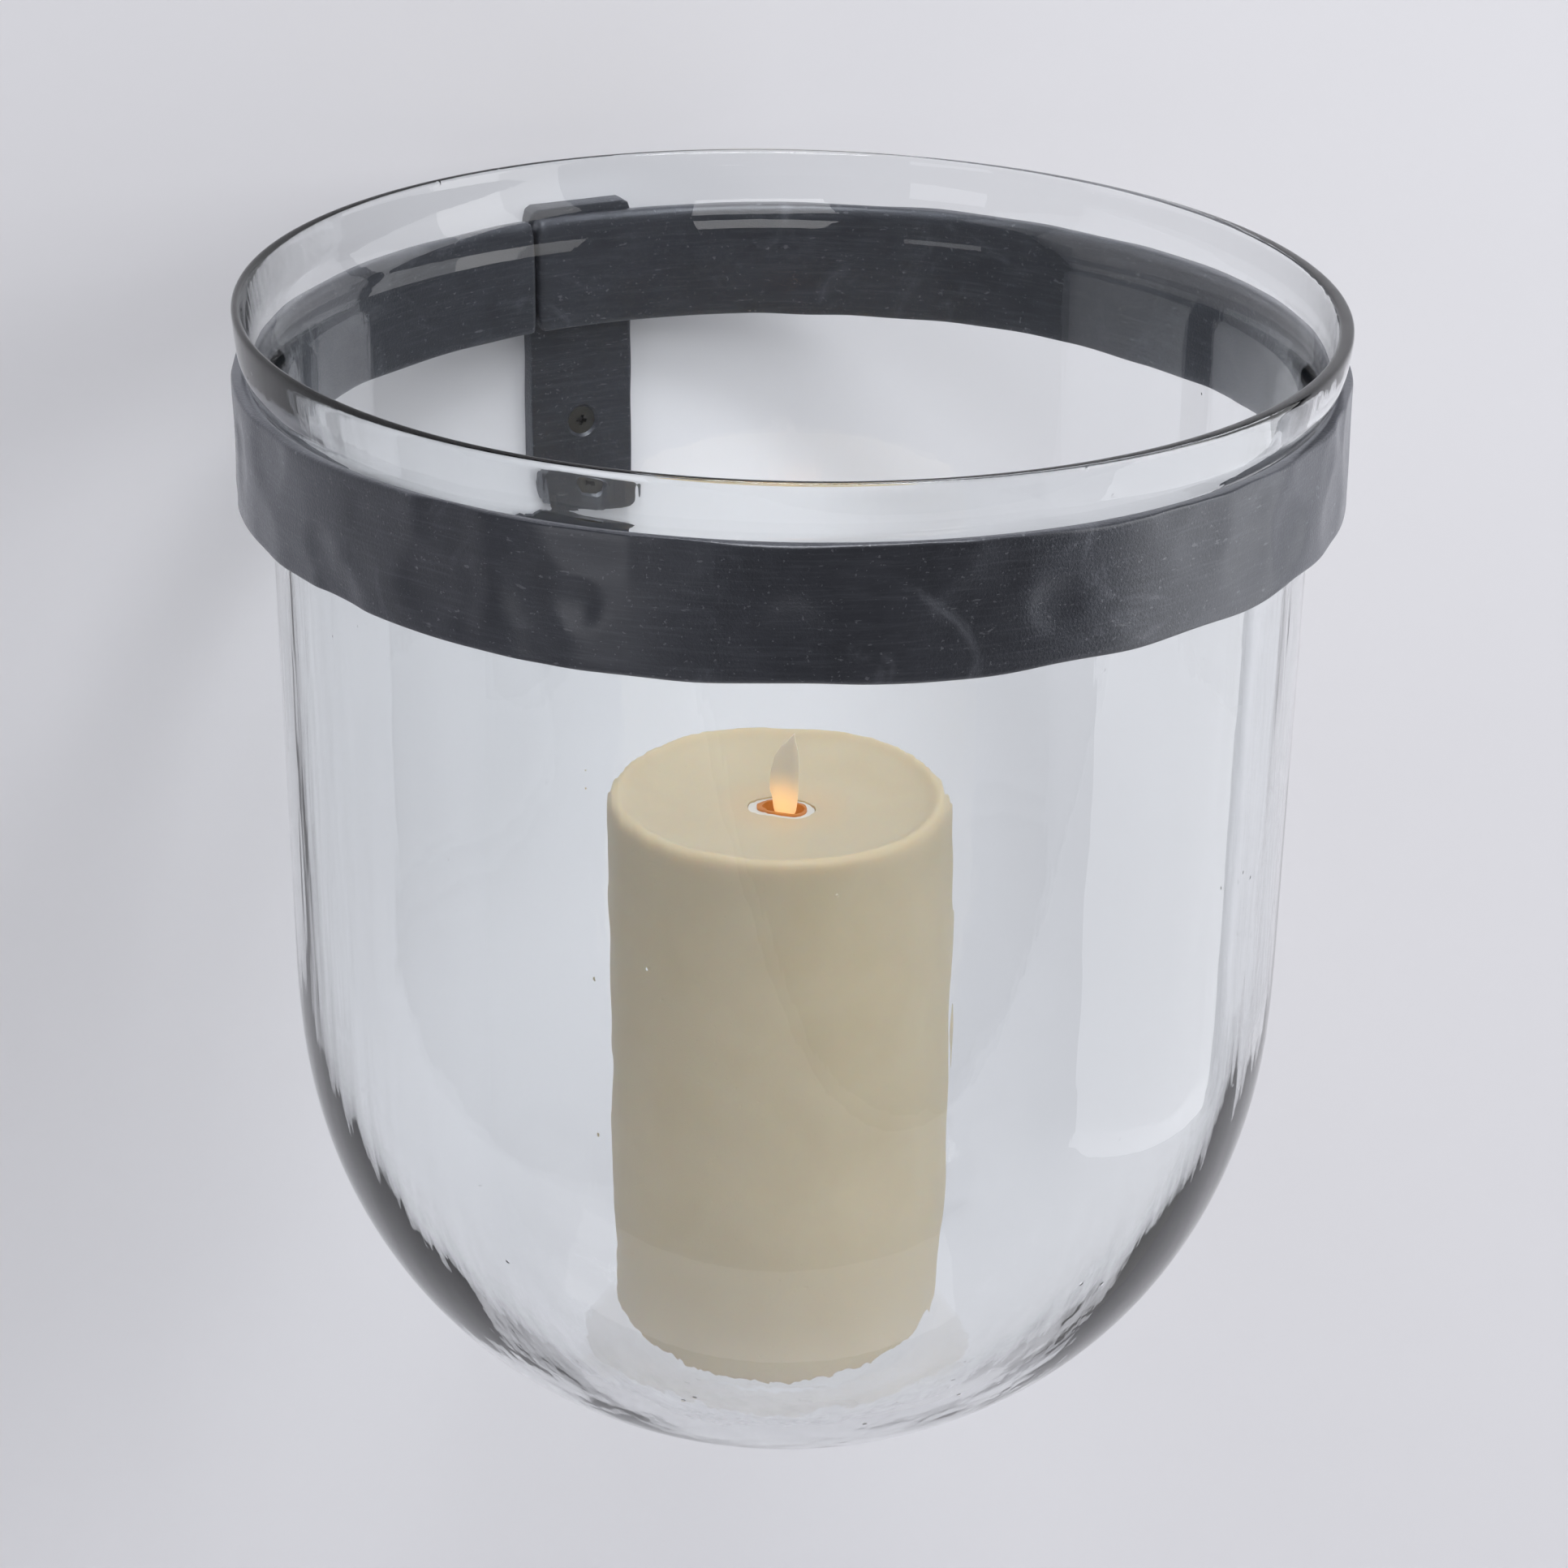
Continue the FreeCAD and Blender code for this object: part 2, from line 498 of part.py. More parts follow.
def make_battery_cells():
    """Two round cells, one each way up."""
    cells = []
    for side in (-1, 1):
        x, low, high = side * CELL_OFFSET, CELL_BASE, CELL_BASE + CELL_HEIGHT
        can = cylinder(CELL_R, low, high, x, TRAY_Y)
        button = (high, high + CELL_BUTTON_HEIGHT) if side > 0 else (low - CELL_BUTTON_HEIGHT, low)
        cells.append(can.fuse(cylinder(CELL_BUTTON_R, button[0], button[1], x, TRAY_Y)))
    return cells


def make_contact_springs():
    """Springs on the door's bridge plate that press the cells up, each as its turns joined by a riser."""
    plate_top = BASE_CAP_BOTTOM + DOOR_THICKNESS + STRIP_THICKNESS
    plate = block(2 * CELL_OFFSET + 12, STRIP_WIDTH, plate_top - STRIP_THICKNESS, plate_top, 0, TRAY_Y)
    turns = []
    for side, end in ((-1, CELL_BASE - CELL_BUTTON_HEIGHT), (1, CELL_BASE)):
        first, last = plate_top + SPRING_WIRE_R - 0.1, end - SPRING_WIRE_R
        x = side * CELL_OFFSET
        for i in range(SPRING_TURNS):
            z = first + (last - first) * i / (SPRING_TURNS - 1)
            turns.append(Part.makeTorus(SPRING_R, SPRING_WIRE_R, Vector(x, TRAY_Y, z), UP))
        turns.append(cylinder(SPRING_WIRE_R * 0.9, plate_top - 0.1, last, x + SPRING_R, TRAY_Y))
    return plate.multiFuse(turns)


def make_contact_strips():
    """A sprung strip from each cell's upper end through the tray and up to the board."""
    strips = []
    for side in (-1, 1):
        x, low = side * CELL_OFFSET, CELL_BASE + CELL_HEIGHT + (CELL_BUTTON_HEIGHT if side > 0 else 0)
        foot = block(STRIP_WIDTH, 6, low, low + STRIP_THICKNESS, x, TRAY_Y) if side < 0 else None
        riser = block(STRIP_WIDTH, STRIP_THICKNESS, low, BOARD_TOP - BOARD_THICKNESS, x, TRAY_Y)
        strips.append(riser.fuse(foot) if foot else riser)
    return strips


def make_base_cap():
    """Disc that closes the core: openings for the battery door and the switch, three screw holes."""
    bottom, top = BASE_CAP_BOTTOM, BASE_CAP_BOTTOM + BASE_CAP_THICKNESS
    cap = cylinder(CORE_R, bottom, top)
    door_room = rounded_block(DOOR_LENGTH + 0.6, DOOR_WIDTH + 0.6, DOOR_CORNER_R,
                              bottom - 1, top + 1, 0, TRAY_Y)
    slider_room = block(SLIDER_SIZE[0] + SWITCH_TRAVEL + 2 * SLIDER_GAP, SLIDER_SIZE[1] + 2 * SLIDER_GAP,
                        bottom - 1, top + 1, SWITCH_TRAVEL / 2, SWITCH_Y)
    holes = ring_of(BASE_SCREW_CIRCLE_R, BASE_SCREW_ANGLES,
                    lambda x, y: cylinder(1.5, bottom - 1, top + 1, x, y))
    recesses = ring_of(BASE_SCREW_CIRCLE_R, BASE_SCREW_ANGLES,
                       lambda x, y: cylinder(3.0, bottom - 1, bottom + 1.8, x, y))
    return cap.cut(door_room).cut(slider_room).cut(Part.makeCompound(holes)).cut(Part.makeCompound(recesses))


def make_base_screws():
    seat = BASE_CAP_BOTTOM + 1.8
    return ring_of(BASE_SCREW_CIRCLE_R, BASE_SCREW_ANGLES,
                   lambda x, y: self_tapping_screw(seat - 1.5, seat, CORE_BOTTOM + 10, 2.6, 1.2, x, y))


def make_battery_door():
    """Flat door over the cells, held by one screw, with two finger grooves."""
    bottom, top = BASE_CAP_BOTTOM, BASE_CAP_BOTTOM + DOOR_THICKNESS
    door = rounded_block(DOOR_LENGTH, DOOR_WIDTH, DOOR_CORNER_R, bottom, top, 0, TRAY_Y)
    hole = cylinder(1.3, bottom - 1, top + 1, 0, DOOR_SCREW_Y)
    recess = cylinder(2.7, bottom - 1, bottom + 1.0, 0, DOOR_SCREW_Y)
    grooves = [block(10, 1.2, bottom - 1, bottom + 0.6, side * 20, TRAY_Y) for side in (-1, 1)]
    return door.cut(hole).cut(recess).cut(Part.makeCompound(grooves))


def make_door_screw():
    seat = BASE_CAP_BOTTOM + 1.0
    return self_tapping_screw(seat - 0.9, seat, CORE_BOTTOM + 8, 2.4, 1.0, 0, DOOR_SCREW_Y)


def make_switch_body():
    """Case of the slide switch, standing on the inside of the base cap."""
    low = BASE_CAP_BOTTOM + BASE_CAP_THICKNESS
    length, width, height = SWITCH_BODY
    case = block(length, width, low, low + height, SWITCH_TRAVEL / 2, SWITCH_Y)
    track = block(SLIDER_SIZE[0] + SWITCH_TRAVEL + 2 * SLIDER_GAP, SLIDER_SIZE[1] + 2 * SLIDER_GAP,
                  low - 1, low + 3, SWITCH_TRAVEL / 2, SWITCH_Y)
    return case.cut(track)


def make_switch_slider():
    """Ribbed button that slides in its recess, at its off end."""
    bottom, top = BASE_CAP_BOTTOM + 0.5, BASE_CAP_BOTTOM + BASE_CAP_THICKNESS + 3 - SLIDER_GAP
    slider = block(SLIDER_SIZE[0], SLIDER_SIZE[1], bottom, top, 0, SWITCH_Y)
    ribs = [block(0.4, SLIDER_SIZE[1] + 1, bottom - 1, bottom + 0.4, x, SWITCH_Y) for x in (-1.2, 0, 1.2)]
    return slider.cut(Part.makeCompound(ribs))


def main():
    os.makedirs("parts", exist_ok=True)
    save("ring_band", make_ring())
    save("wall_plate", make_plate())
    save("plate_welds", *make_plate_welds())
    save("wall_screws", *[make_wall_screw(z) for z in (-SCREW_SPACING / 2, SCREW_SPACING / 2)])
    save("glass_vessel", make_glass_vessel())
    candle_nodes = {
        "wax_pillar": [make_wax_pillar()], "core_housing": [make_core_housing()],
        "flame_collar": [make_flame_collar()], "pivot_wire": [turned_with_flame(pivot_wire_shape())],
        "led_lamp": [make_led_lamp()], "flame_blade": [make_flame_blade()],
        "flame_magnet": [make_flame_magnet()], "coil_bobbin": [make_coil_bobbin()],
        "drive_coil": [make_drive_coil()], "circuit_board": [make_circuit_board()],
        "board_screws": make_board_screws(), "battery_tray": [make_battery_tray()],
        "battery_cells": make_battery_cells(), "contact_springs": [make_contact_springs()],
        "contact_strips": make_contact_strips(), "base_cap": [make_base_cap()],
        "base_screws": make_base_screws(), "battery_door": [make_battery_door()],
        "door_screw": [make_door_screw()], "switch_body": [make_switch_body()],
        "switch_slider": [make_switch_slider()],
    }
    for name, shapes in candle_nodes.items():
        save(name, *[in_candle(s) for s in shapes])


main()
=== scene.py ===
# %% [markdown]
# # A wall sconce: glass bell, iron ring and wax candle
# A clear blown bell hangs by its shoulder in a hammered iron ring. The ring is welded to a flat plate that
# two screws hold on the wall, and a battery-lit wax candle stands in the bell.
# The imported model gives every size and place, so nothing here is moved to fit. Pieces that need a softer or
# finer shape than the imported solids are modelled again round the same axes. The rest keep their shape and
# get a proper finish.

import math
import random

import bmesh
import bpy
from mathutils import Matrix, Vector, noise


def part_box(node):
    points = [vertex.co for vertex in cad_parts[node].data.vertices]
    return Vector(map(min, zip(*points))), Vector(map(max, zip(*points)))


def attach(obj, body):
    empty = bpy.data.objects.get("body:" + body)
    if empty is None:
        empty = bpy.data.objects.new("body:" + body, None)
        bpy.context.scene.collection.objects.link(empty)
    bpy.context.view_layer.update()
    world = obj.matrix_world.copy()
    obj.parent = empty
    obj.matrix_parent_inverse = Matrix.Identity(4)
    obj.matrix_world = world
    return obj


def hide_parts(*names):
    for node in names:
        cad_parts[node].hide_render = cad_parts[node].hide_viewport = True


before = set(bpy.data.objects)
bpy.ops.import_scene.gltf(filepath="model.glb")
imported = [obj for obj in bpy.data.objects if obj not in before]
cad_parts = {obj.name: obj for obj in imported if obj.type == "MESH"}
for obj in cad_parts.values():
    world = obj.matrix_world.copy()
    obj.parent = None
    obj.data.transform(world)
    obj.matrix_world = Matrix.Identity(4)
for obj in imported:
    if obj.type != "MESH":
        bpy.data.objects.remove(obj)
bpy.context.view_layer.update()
MM = 0.001
UP = Vector((0, 0, 1))

# %% [markdown]
# ## Where things are
# The ring, the bell and the candle are all round, so each needs only an axis, a radius and two heights.
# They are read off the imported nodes' boxes, and the rest of the script works from them.

# %% Read the axes and the main sizes
ring_low, ring_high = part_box("ring_band")
wax_low, wax_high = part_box("wax_pillar")
plate_low, plate_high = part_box("wall_plate")
RING_R = (ring_high.x - ring_low.x) / 2
BAR = plate_high.y - plate_low.y
AXIS = Vector((0.0, ring_low.y + RING_R, 0.0))
CANDLE = Vector(((wax_low.x + wax_high.x) / 2, (wax_low.y + wax_high.y) / 2, wax_low.z))
PLATE_FRONT = plate_low.y
print("axis", AXIS, "candle", CANDLE, "bar", BAR)

# %% [markdown]
# ## Mesh helpers
# Round work is drawn as half a section and spun round an axis, as on a lathe. A finished piece is put in the
# scene with its normals facing out, rides on its body and hides the imported nodes it stands for.

# %% Spin an outline round an axis
def spun(outline, axis_point, steps, sweep=2 * math.pi, start=0.0, loop=False):
    """A bmesh made by turning points (radius, height) round the upright axis through axis_point."""
    bm = bmesh.new()
    away = Vector((math.cos(start), math.sin(start), 0))
    row = [bm.verts.new(axis_point + away * r + UP * z) for r, z in outline]
    for a, b in zip(row, row[1:] + row[:1] if loop else row[1:]):
        bm.edges.new((a, b))
    full = abs(sweep - 2 * math.pi) < 1e-6
    bmesh.ops.spin(bm, geom=bm.verts[:] + bm.edges[:], cent=axis_point, axis=UP, angle=sweep, steps=steps,
                   use_merge=full)
    bmesh.ops.remove_doubles(bm, verts=bm.verts, dist=1e-6)
    return bm


def eased(points, steps):
    """More points along a smooth line through the given ones, which it keeps."""
    made = []
    last = len(points) - 1
    for i in range(last):
        p0, p1, p2, p3 = (Vector(points[min(max(k, 0), last)]) for k in (i - 1, i, i + 1, i + 2))
        for s in range(steps):
            t = s / steps
            made.append(tuple(0.5 * (2 * p1 + (p2 - p0) * t + (2 * p0 - 5 * p1 + 4 * p2 - p3) * t * t
                                     + (3 * p1 - p0 - 3 * p2 + p3) * t ** 3)))
    return made + [tuple(points[-1])]


# %% Put a finished mesh in the scene
def put(name, bm, body=None, finish=None, stands_for=(), rounds=0, turn_out=True):
    """Makes an object of a bmesh, faces outwards, and hangs it on its body."""
    if turn_out:
        bmesh.ops.recalc_face_normals(bm, faces=bm.faces)
    mesh = bpy.data.meshes.new(name)
    bm.to_mesh(mesh)
    bm.free()
    mesh.shade_smooth()
    piece = bpy.data.objects.new(name, mesh)
    bpy.context.scene.collection.objects.link(piece)
    if rounds:
        soft = piece.modifiers.new("soft", "SUBSURF")
        soft.levels = soft.render_levels = rounds
    if finish:
        mesh.materials.append(finish)
    if body:
        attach(piece, body)
    if stands_for:
        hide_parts(*stands_for)
    print(name, len(mesh.polygons), "faces")
    return piece


def carve(piece, cutters):
    """Takes the cutters out of a piece for good, and clears them away."""
    for cutter in cutters:
        cut = piece.modifiers.new("cut", "BOOLEAN")
        cut.operation, cut.solver, cut.object = "DIFFERENCE", "EXACT", cutter
    bpy.context.view_layer.update()
    solid = piece.evaluated_get(bpy.context.evaluated_depsgraph_get())
    mesh = bpy.data.meshes.new_from_object(solid)
    piece.modifiers.clear()
    piece.data = mesh
    for cutter in cutters:
        bpy.data.objects.remove(cutter)
    return piece


def crisp(piece, degrees=35):
    """Keeps edges sharper than this angle sharp in the shading."""
    piece.data.set_sharp_from_angle(angle=math.radians(degrees))


# %% [markdown]
# ## Shader maths as expressions
# A surface's colour, gloss and bump are sums of patterns. Wrapping a socket lets `0.4 + 0.2 * grain` add the
# Math nodes, and one method makes every other node from its type, its settings and its sockets.

# %% The socket wrapper and the paint box
class Wire:
    """One output socket that can be added or multiplied."""

    def __init__(self, paint, socket):
        self.paint, self.socket = paint, socket

    def _maths(self, operation, first, second):
        return self.paint.node("ShaderNodeMath", {"operation": operation}, {0: first, 1: second})

    def __add__(self, other):
        return self._maths("ADD", self, other)

    def __radd__(self, other):
        return self._maths("ADD", other, self)

    def __mul__(self, other):
        return self._maths("MULTIPLY", self, other)

    def __rmul__(self, other):
        return self._maths("MULTIPLY", other, self)


class Paint:
    """A material under construction, with its nodes made one by one."""

    def __init__(self, name):
        self.material = bpy.data.materials.new(name)
        self.material.use_nodes = True
        self.tree = self.material.node_tree
        self.tree.nodes.clear()
        self.here = self.node("ShaderNodeTexCoord", out="Object")

    def node(self, kind, settings=None, sockets=None, out=0):
        made = self.tree.nodes.new(kind)
        for key, value in (settings or {}).items():
            setattr(made, key, value)
        for key, value in (sockets or {}).items():
            if isinstance(value, Wire):
                self.tree.links.new(value.socket, made.inputs[key])
            else:
                made.inputs[key].default_value = value
        return Wire(self, made.outputs[out])

    def noise(self, scale, detail=2.0, rough=0.5, where=None, warp=0.0):
        return self.node("ShaderNodeTexNoise", None, {
            "Vector": where or self.here, "Scale": scale, "Detail": detail, "Roughness": rough,
            "Distortion": warp})

    def stretched(self, x, y, z):
        """Object coordinates times a factor on each axis, for a pattern that runs one way."""
        return self.node("ShaderNodeVectorMath", {"operation": "MULTIPLY"}, {0: self.here, 1: (x, y, z)})

    def band(self, value, low, high):
        """The value's range low..high spread smoothly over 0..1, and held there outside it."""
        return self.node("ShaderNodeMapRange", {"interpolation_type": "SMOOTHSTEP"}, {
            0: value, 1: low, 2: high, 3: 0.0, 4: 1.0})

    def mix(self, part, first, second):
        ready = {key: value if isinstance(value, Wire) else (*value, 1)
                 for key, value in ((6, first), (7, second))}
        return self.node("ShaderNodeMix", {"data_type": "RGBA"}, {0: part, **ready}, out=2)

    def axis(self, letter):
        return self.node("ShaderNodeSeparateXYZ", None, {0: self.here}, out="XYZ".index(letter))

    def bump(self, height, depth, strength=1.0):
        return self.node("ShaderNodeBump", None, {"Height": height, "Distance": depth, "Strength": strength})

    def principled(self, sockets):
        ready = {key: (*value, 1) if isinstance(value, tuple) and len(value) == 3 and "Radius" not in key
                 else value for key, value in sockets.items()}
        return self.node("ShaderNodeBsdfPrincipled", None, ready)

    def done(self, shader):
        last = self.tree.nodes.new("ShaderNodeOutputMaterial")
        self.tree.links.new(shader.socket, last.inputs["Surface"])
        return self.material


print("paint box ready")

# %% [markdown]
# ## Blackened iron
# The bar is hand-hammered flat steel, blackened and waxed. It is nearly black where it faces the room's dark
# side and slate grey where it faces light, with a fine grain, pale smudges and a few dust specks. The shader
# is part metal for the slate, with a coat over it for the wax. The big dents are modelled, and only the
# grain is bump.

# %% Paint the iron
def iron_paint():
    p = Paint("blackened_iron")
    grain = p.noise(1300, 3, 0.7)
    blotch = p.noise(75, 4, 0.6, warp=0.6)
    brushed = p.noise(1.0, 4, 0.65, where=p.stretched(60, 60, 1100))
    smudge = p.band(p.noise(30, 5, 0.7, warp=1.5), 0.54, 0.78)
    specks = p.band(p.noise(900, 2, 0.5), 0.66, 0.73)
    flecks = p.band(p.noise(1.0, 2, 0.5, where=p.stretched(260, 260, 700)), 0.68, 0.75)
    pale = p.band(brushed, 0.45, 0.75) * 0.12 + smudge * 0.32
    dark = p.mix(blotch, (0.020, 0.021, 0.026), (0.048, 0.050, 0.062))
    dull = p.mix(pale, dark, (0.20, 0.208, 0.235))
    colour = p.mix(specks * 0.20 + flecks * 0.18, dull, (0.40, 0.41, 0.44))
    rough = 0.24 + 0.13 * blotch + 0.10 * grain + 0.14 * smudge
    height = 0.8 * grain + 0.4 * blotch + 0.15 * brushed
    shader = p.principled({"Base Color": colour, "Metallic": 0.5, "Roughness": rough,
                           "Normal": p.bump(height, 0.00028, 0.9), "Specular IOR Level": 0.9,
                           "Specular Tint": (0.86, 0.91, 1.0), "Coat Weight": 0.7, "Coat Roughness": 0.24})
    return p.done(shader)


IRON = iron_paint()

# %% [markdown]
# ## Steel and nickel
# Screws are plain dulled steel. The contacts and the magnet are nickel plated. All are one metal shader with
# different tints and gloss, and a fine brushing that breaks up the reflection.

# %% Paint the metals
def metal_paint(name, tint, shade, rough, brush_scale=1400):
    p = Paint(name)
    brushed = p.noise(1.0, 3, 0.6, where=p.stretched(brush_scale, brush_scale / 6, brush_scale))
    cloud = p.noise(220, 3, 0.6)
    colour = p.mix(cloud, tint, shade)
    shader = p.principled({"Base Color": colour, "Metallic": 1.0,
                           "Roughness": rough - 0.08 + 0.14 * brushed + 0.08 * cloud,
                           "Normal": p.bump(brushed, 0.00003, 0.5)})
    return p.done(shader)


SCREW_STEEL = metal_paint("screw_steel", (0.13, 0.125, 0.115), (0.075, 0.072, 0.07), 0.40)
NICKEL = metal_paint("nickel_plate", (0.62, 0.60, 0.55), (0.48, 0.46, 0.42), 0.26)
BRIGHT_STEEL = metal_paint("bright_wire", (0.66, 0.66, 0.66), (0.5, 0.5, 0.5), 0.24)

# %% [markdown]
# ## Clear glass
# Blown glass is clear with a faint cool tint, long soft ripples from the blowing, and a few seeds of trapped
# air. The ripples run up and down, so their noise is squeezed sideways. For shadows the glass counts as a
# light transparent sheet, so that the lamps reach the candle without noise.

# %% Paint the glass
def glass_paint():
    p = Paint("clear_glass")
    ripple = p.noise(1.0, 2, 0.45, where=p.stretched(60, 60, 9))
    streak = p.noise(1.0, 2, 0.5, where=p.stretched(210, 210, 20))
    seed_at = p.node("ShaderNodeTexVoronoi", None, {"Vector": p.here, "Scale": 95, "Randomness": 1.0})
    seeds = p.band(seed_at, 0.075, 0.02) * p.band(p.noise(31, 1), 0.60, 0.66)
    height = 1.0 * ripple + 0.16 * streak + 1.2 * seeds
    glass = p.principled({"Base Color": (0.955, 0.968, 0.972), "Roughness": 0.0, "IOR": 1.47,
                          "Transmission Weight": 1.0, "Normal": p.bump(height, 0.0007, 0.22)})
    clear = p.node("ShaderNodeBsdfTransparent", None, {"Color": (0.93, 0.94, 0.945, 1)})
    lamp = p.node("ShaderNodeLightPath", out="Is Shadow Ray")
    return p.done(p.node("ShaderNodeMixShader", None, {0: lamp, 1: glass, 2: clear}))


GLASS = glass_paint()

# %% [markdown]
# ## Ivory wax
# Wax lets light in a little way and looks soft at its edges. Subsurface scattering gives that, with faint
# clouding and small pits. Painted lamp glow warms the wax near the flame's well, and painted shade darkens
# the foot.

# %% Paint the wax
def wax_paint():
    p = Paint("ivory_wax")
    cloud = p.noise(45, 4, 0.6, warp=0.5)
    fine = p.noise(900, 2, 0.5)
    pit_at = p.node("ShaderNodeTexVoronoi", None, {"Vector": p.here, "Scale": 330, "Randomness": 1.0})
    pits = p.band(pit_at, 0.05, 0.16)
    # Painted glow: the lamp's warm light near the flame's well is painted into the wax colour.
    near = p.node("ShaderNodeVectorMath", {"operation": "DISTANCE"},
                  {0: p.here, 1: tuple(CANDLE + UP * 0.176)}, out="Value")
    painted_lamp_glow = p.band(near, 0.024, 0.007)
    plain = p.mix(cloud, (0.53, 0.447, 0.302), (0.615, 0.543, 0.398))
    # Painted shade: the wax colour darkens towards the candle's foot.
    painted_foot_shade = p.band(p.axis("Z"), CANDLE.z + 0.075, CANDLE.z + 0.005)
    shaded = p.mix(painted_foot_shade * 0.6, plain, (0.33, 0.275, 0.19))
    colour = p.mix(painted_lamp_glow * 0.45, shaded, (0.68, 0.47, 0.29))
    shader = p.principled({
        "Base Color": colour, "Roughness": 0.40 + 0.14 * cloud, "IOR": 1.44,
        "Subsurface Weight": 0.65, "Subsurface Radius": (0.016, 0.010, 0.005), "Subsurface Scale": 0.5,
        "Normal": p.bump(0.5 * fine + 0.5 * pits + 1.5 * cloud, 0.00012, 0.6)})
    return p.done(shader)


WAX = wax_paint()

# %% [markdown]
# ## Flame, amber liner and lamp
# The flame is a thin milky moulding. A small lamp at its foot shines up one face, so its glow is strongest
# low down and fades upwards. This glow is painted in: it warms the base colour and feeds the emission colour,
# and everything above stays cream.

# %% Paint the flame, liner and lamp
def flame_paint():
    p = Paint("flame_plastic")
    pivot = CANDLE + UP * 0.171
    near = p.node("ShaderNodeVectorMath", {"operation": "DISTANCE"},
                  {0: p.here, 1: tuple(pivot + Vector((-0.0022, -0.0018, 0.0015)))}, out="Value")
    glow = p.band(near, 0.0165, 0.002)
    milk = p.noise(420, 3, 0.5)
    # Painted lamp light: the glow warms the base colour here and feeds the emission colour below.
    colour = p.mix(glow, (0.66, 0.61, 0.51), (0.80, 0.58, 0.32))
    light = p.mix(glow, (0.05, 0.04, 0.028), (0.80, 0.47, 0.19))
    shader = p.principled({
        "Base Color": colour, "Roughness": 0.36 + 0.1 * milk, "Subsurface Weight": 0.5,
        "Subsurface Radius": (0.003, 0.002, 0.001), "Subsurface Scale": 0.5,
        "Emission Color": light, "Emission Strength": 1.0, "Normal": p.bump(milk, 0.00005, 0.4)})
    return p.done(shader)


def tinted_paint(name, tint, shade, glow, strength, through=0.5):
    p = Paint(name)
    cloud = p.noise(300, 2, 0.5)
    shader = p.principled({
        "Base Color": p.mix(cloud, tint, shade), "Roughness": 0.18 + 0.1 * cloud, "IOR": 1.46,
        "Transmission Weight": through, "Emission Color": p.mix(cloud, glow, tuple(0.8 * g for g in glow)),
        "Emission Strength": strength})
    return p.done(shader)


FLAME = flame_paint()
# The amber liner's emission is painted glow of the lamp's light shining through it.
AMBER = tinted_paint("amber_liner", (0.62, 0.27, 0.06), (0.50, 0.19, 0.04), (0.9, 0.35, 0.06), 0.16)
LAMP = tinted_paint("lamp_lens", (0.96, 0.82, 0.55), (0.92, 0.74, 0.45), (1.0, 0.62, 0.22), 1.2)

# %% [markdown]
# ## Moulded plastics
# Inside the candle are a moulded core, a battery holder, a bobbin, a base cap, a door and a switch. Moulded
# plastic has a fine spark-eroded texture, slightly uneven gloss and faint flow marks, so one recipe with
# different tints serves them all.

# %% Paint the plastics
def moulded_paint(name, tint, shade, rough, texture=0.00004):
    p = Paint(name)
    spark = p.noise(2600, 2, 0.6)
    flow = p.noise(1.0, 3, 0.55, where=p.stretched(60, 60, 160))
    shader = p.principled({
        "Base Color": p.mix(flow, tint, shade), "Roughness": rough - 0.06 + 0.14 * flow + 0.06 * spark,
        "Specular IOR Level": 0.45, "Normal": p.bump(spark, texture, 0.7)})
    return p.done(shader)


CORE_PLASTIC = moulded_paint("core_plastic", (0.74, 0.73, 0.69), (0.66, 0.65, 0.60), 0.48)
BASE_PLASTIC = moulded_paint("base_plastic", (0.72, 0.69, 0.60), (0.63, 0.60, 0.51), 0.55, 0.00008)
NYLON = moulded_paint("white_nylon", (0.86, 0.86, 0.83), (0.78, 0.78, 0.75), 0.40)

# %% [markdown]
# ## Coil, circuit board and cells
# The drive coil is a winding of fine enamelled copper, the board is green lacquer over copper tracks, and
# the cells have a plain printed-free jacket between bare metal ends.

# %% Paint the electrical parts
def winding_paint():
    p = Paint("copper_winding")
    turns = p.node("ShaderNodeTexWave", {"wave_type": "BANDS", "bands_direction": "Z"},
                   {"Vector": p.here, "Scale": 600, "Distortion": 0.6, "Detail": 1.0})
    cloud = p.noise(400, 2)
    colour = p.mix(turns, (0.22, 0.07, 0.025), (0.72, 0.30, 0.12))
    shader = p.principled({"Base Color": colour, "Metallic": 0.85, "Roughness": 0.26 + 0.14 * cloud,
                           "Coat Weight": 0.35 + 0.2 * cloud, "Normal": p.bump(turns, 0.0001, 0.8)})
    return p.done(shader)


def board_paint():
    p = Paint("green_board")
    board_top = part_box("circuit_board")[1].z
    maze = p.node("ShaderNodeTexBrick", {"offset": 0.37}, {
        "Vector": p.here, "Scale": 150, "Color1": (0, 0, 0, 1), "Color2": (0.1, 0.1, 0.1, 1),
        "Mortar": (1, 1, 1, 1), "Mortar Size": 0.035, "Mortar Smooth": 0.2})
    chip = p.band(p.axis("Z"), board_top - 0.00165, board_top - 0.00175)
    cloud = p.noise(150, 3)
    lacquer = p.mix(maze, (0.012, 0.085, 0.035), (0.045, 0.21, 0.085))
    colour = p.mix(chip, lacquer, (0.018, 0.018, 0.02))
    shader = p.principled({"Base Color": colour, "Roughness": 0.26 + 0.2 * cloud + 0.2 * chip,
                           "Normal": p.bump(maze, 0.00006, 0.6)})
    return p.done(shader)


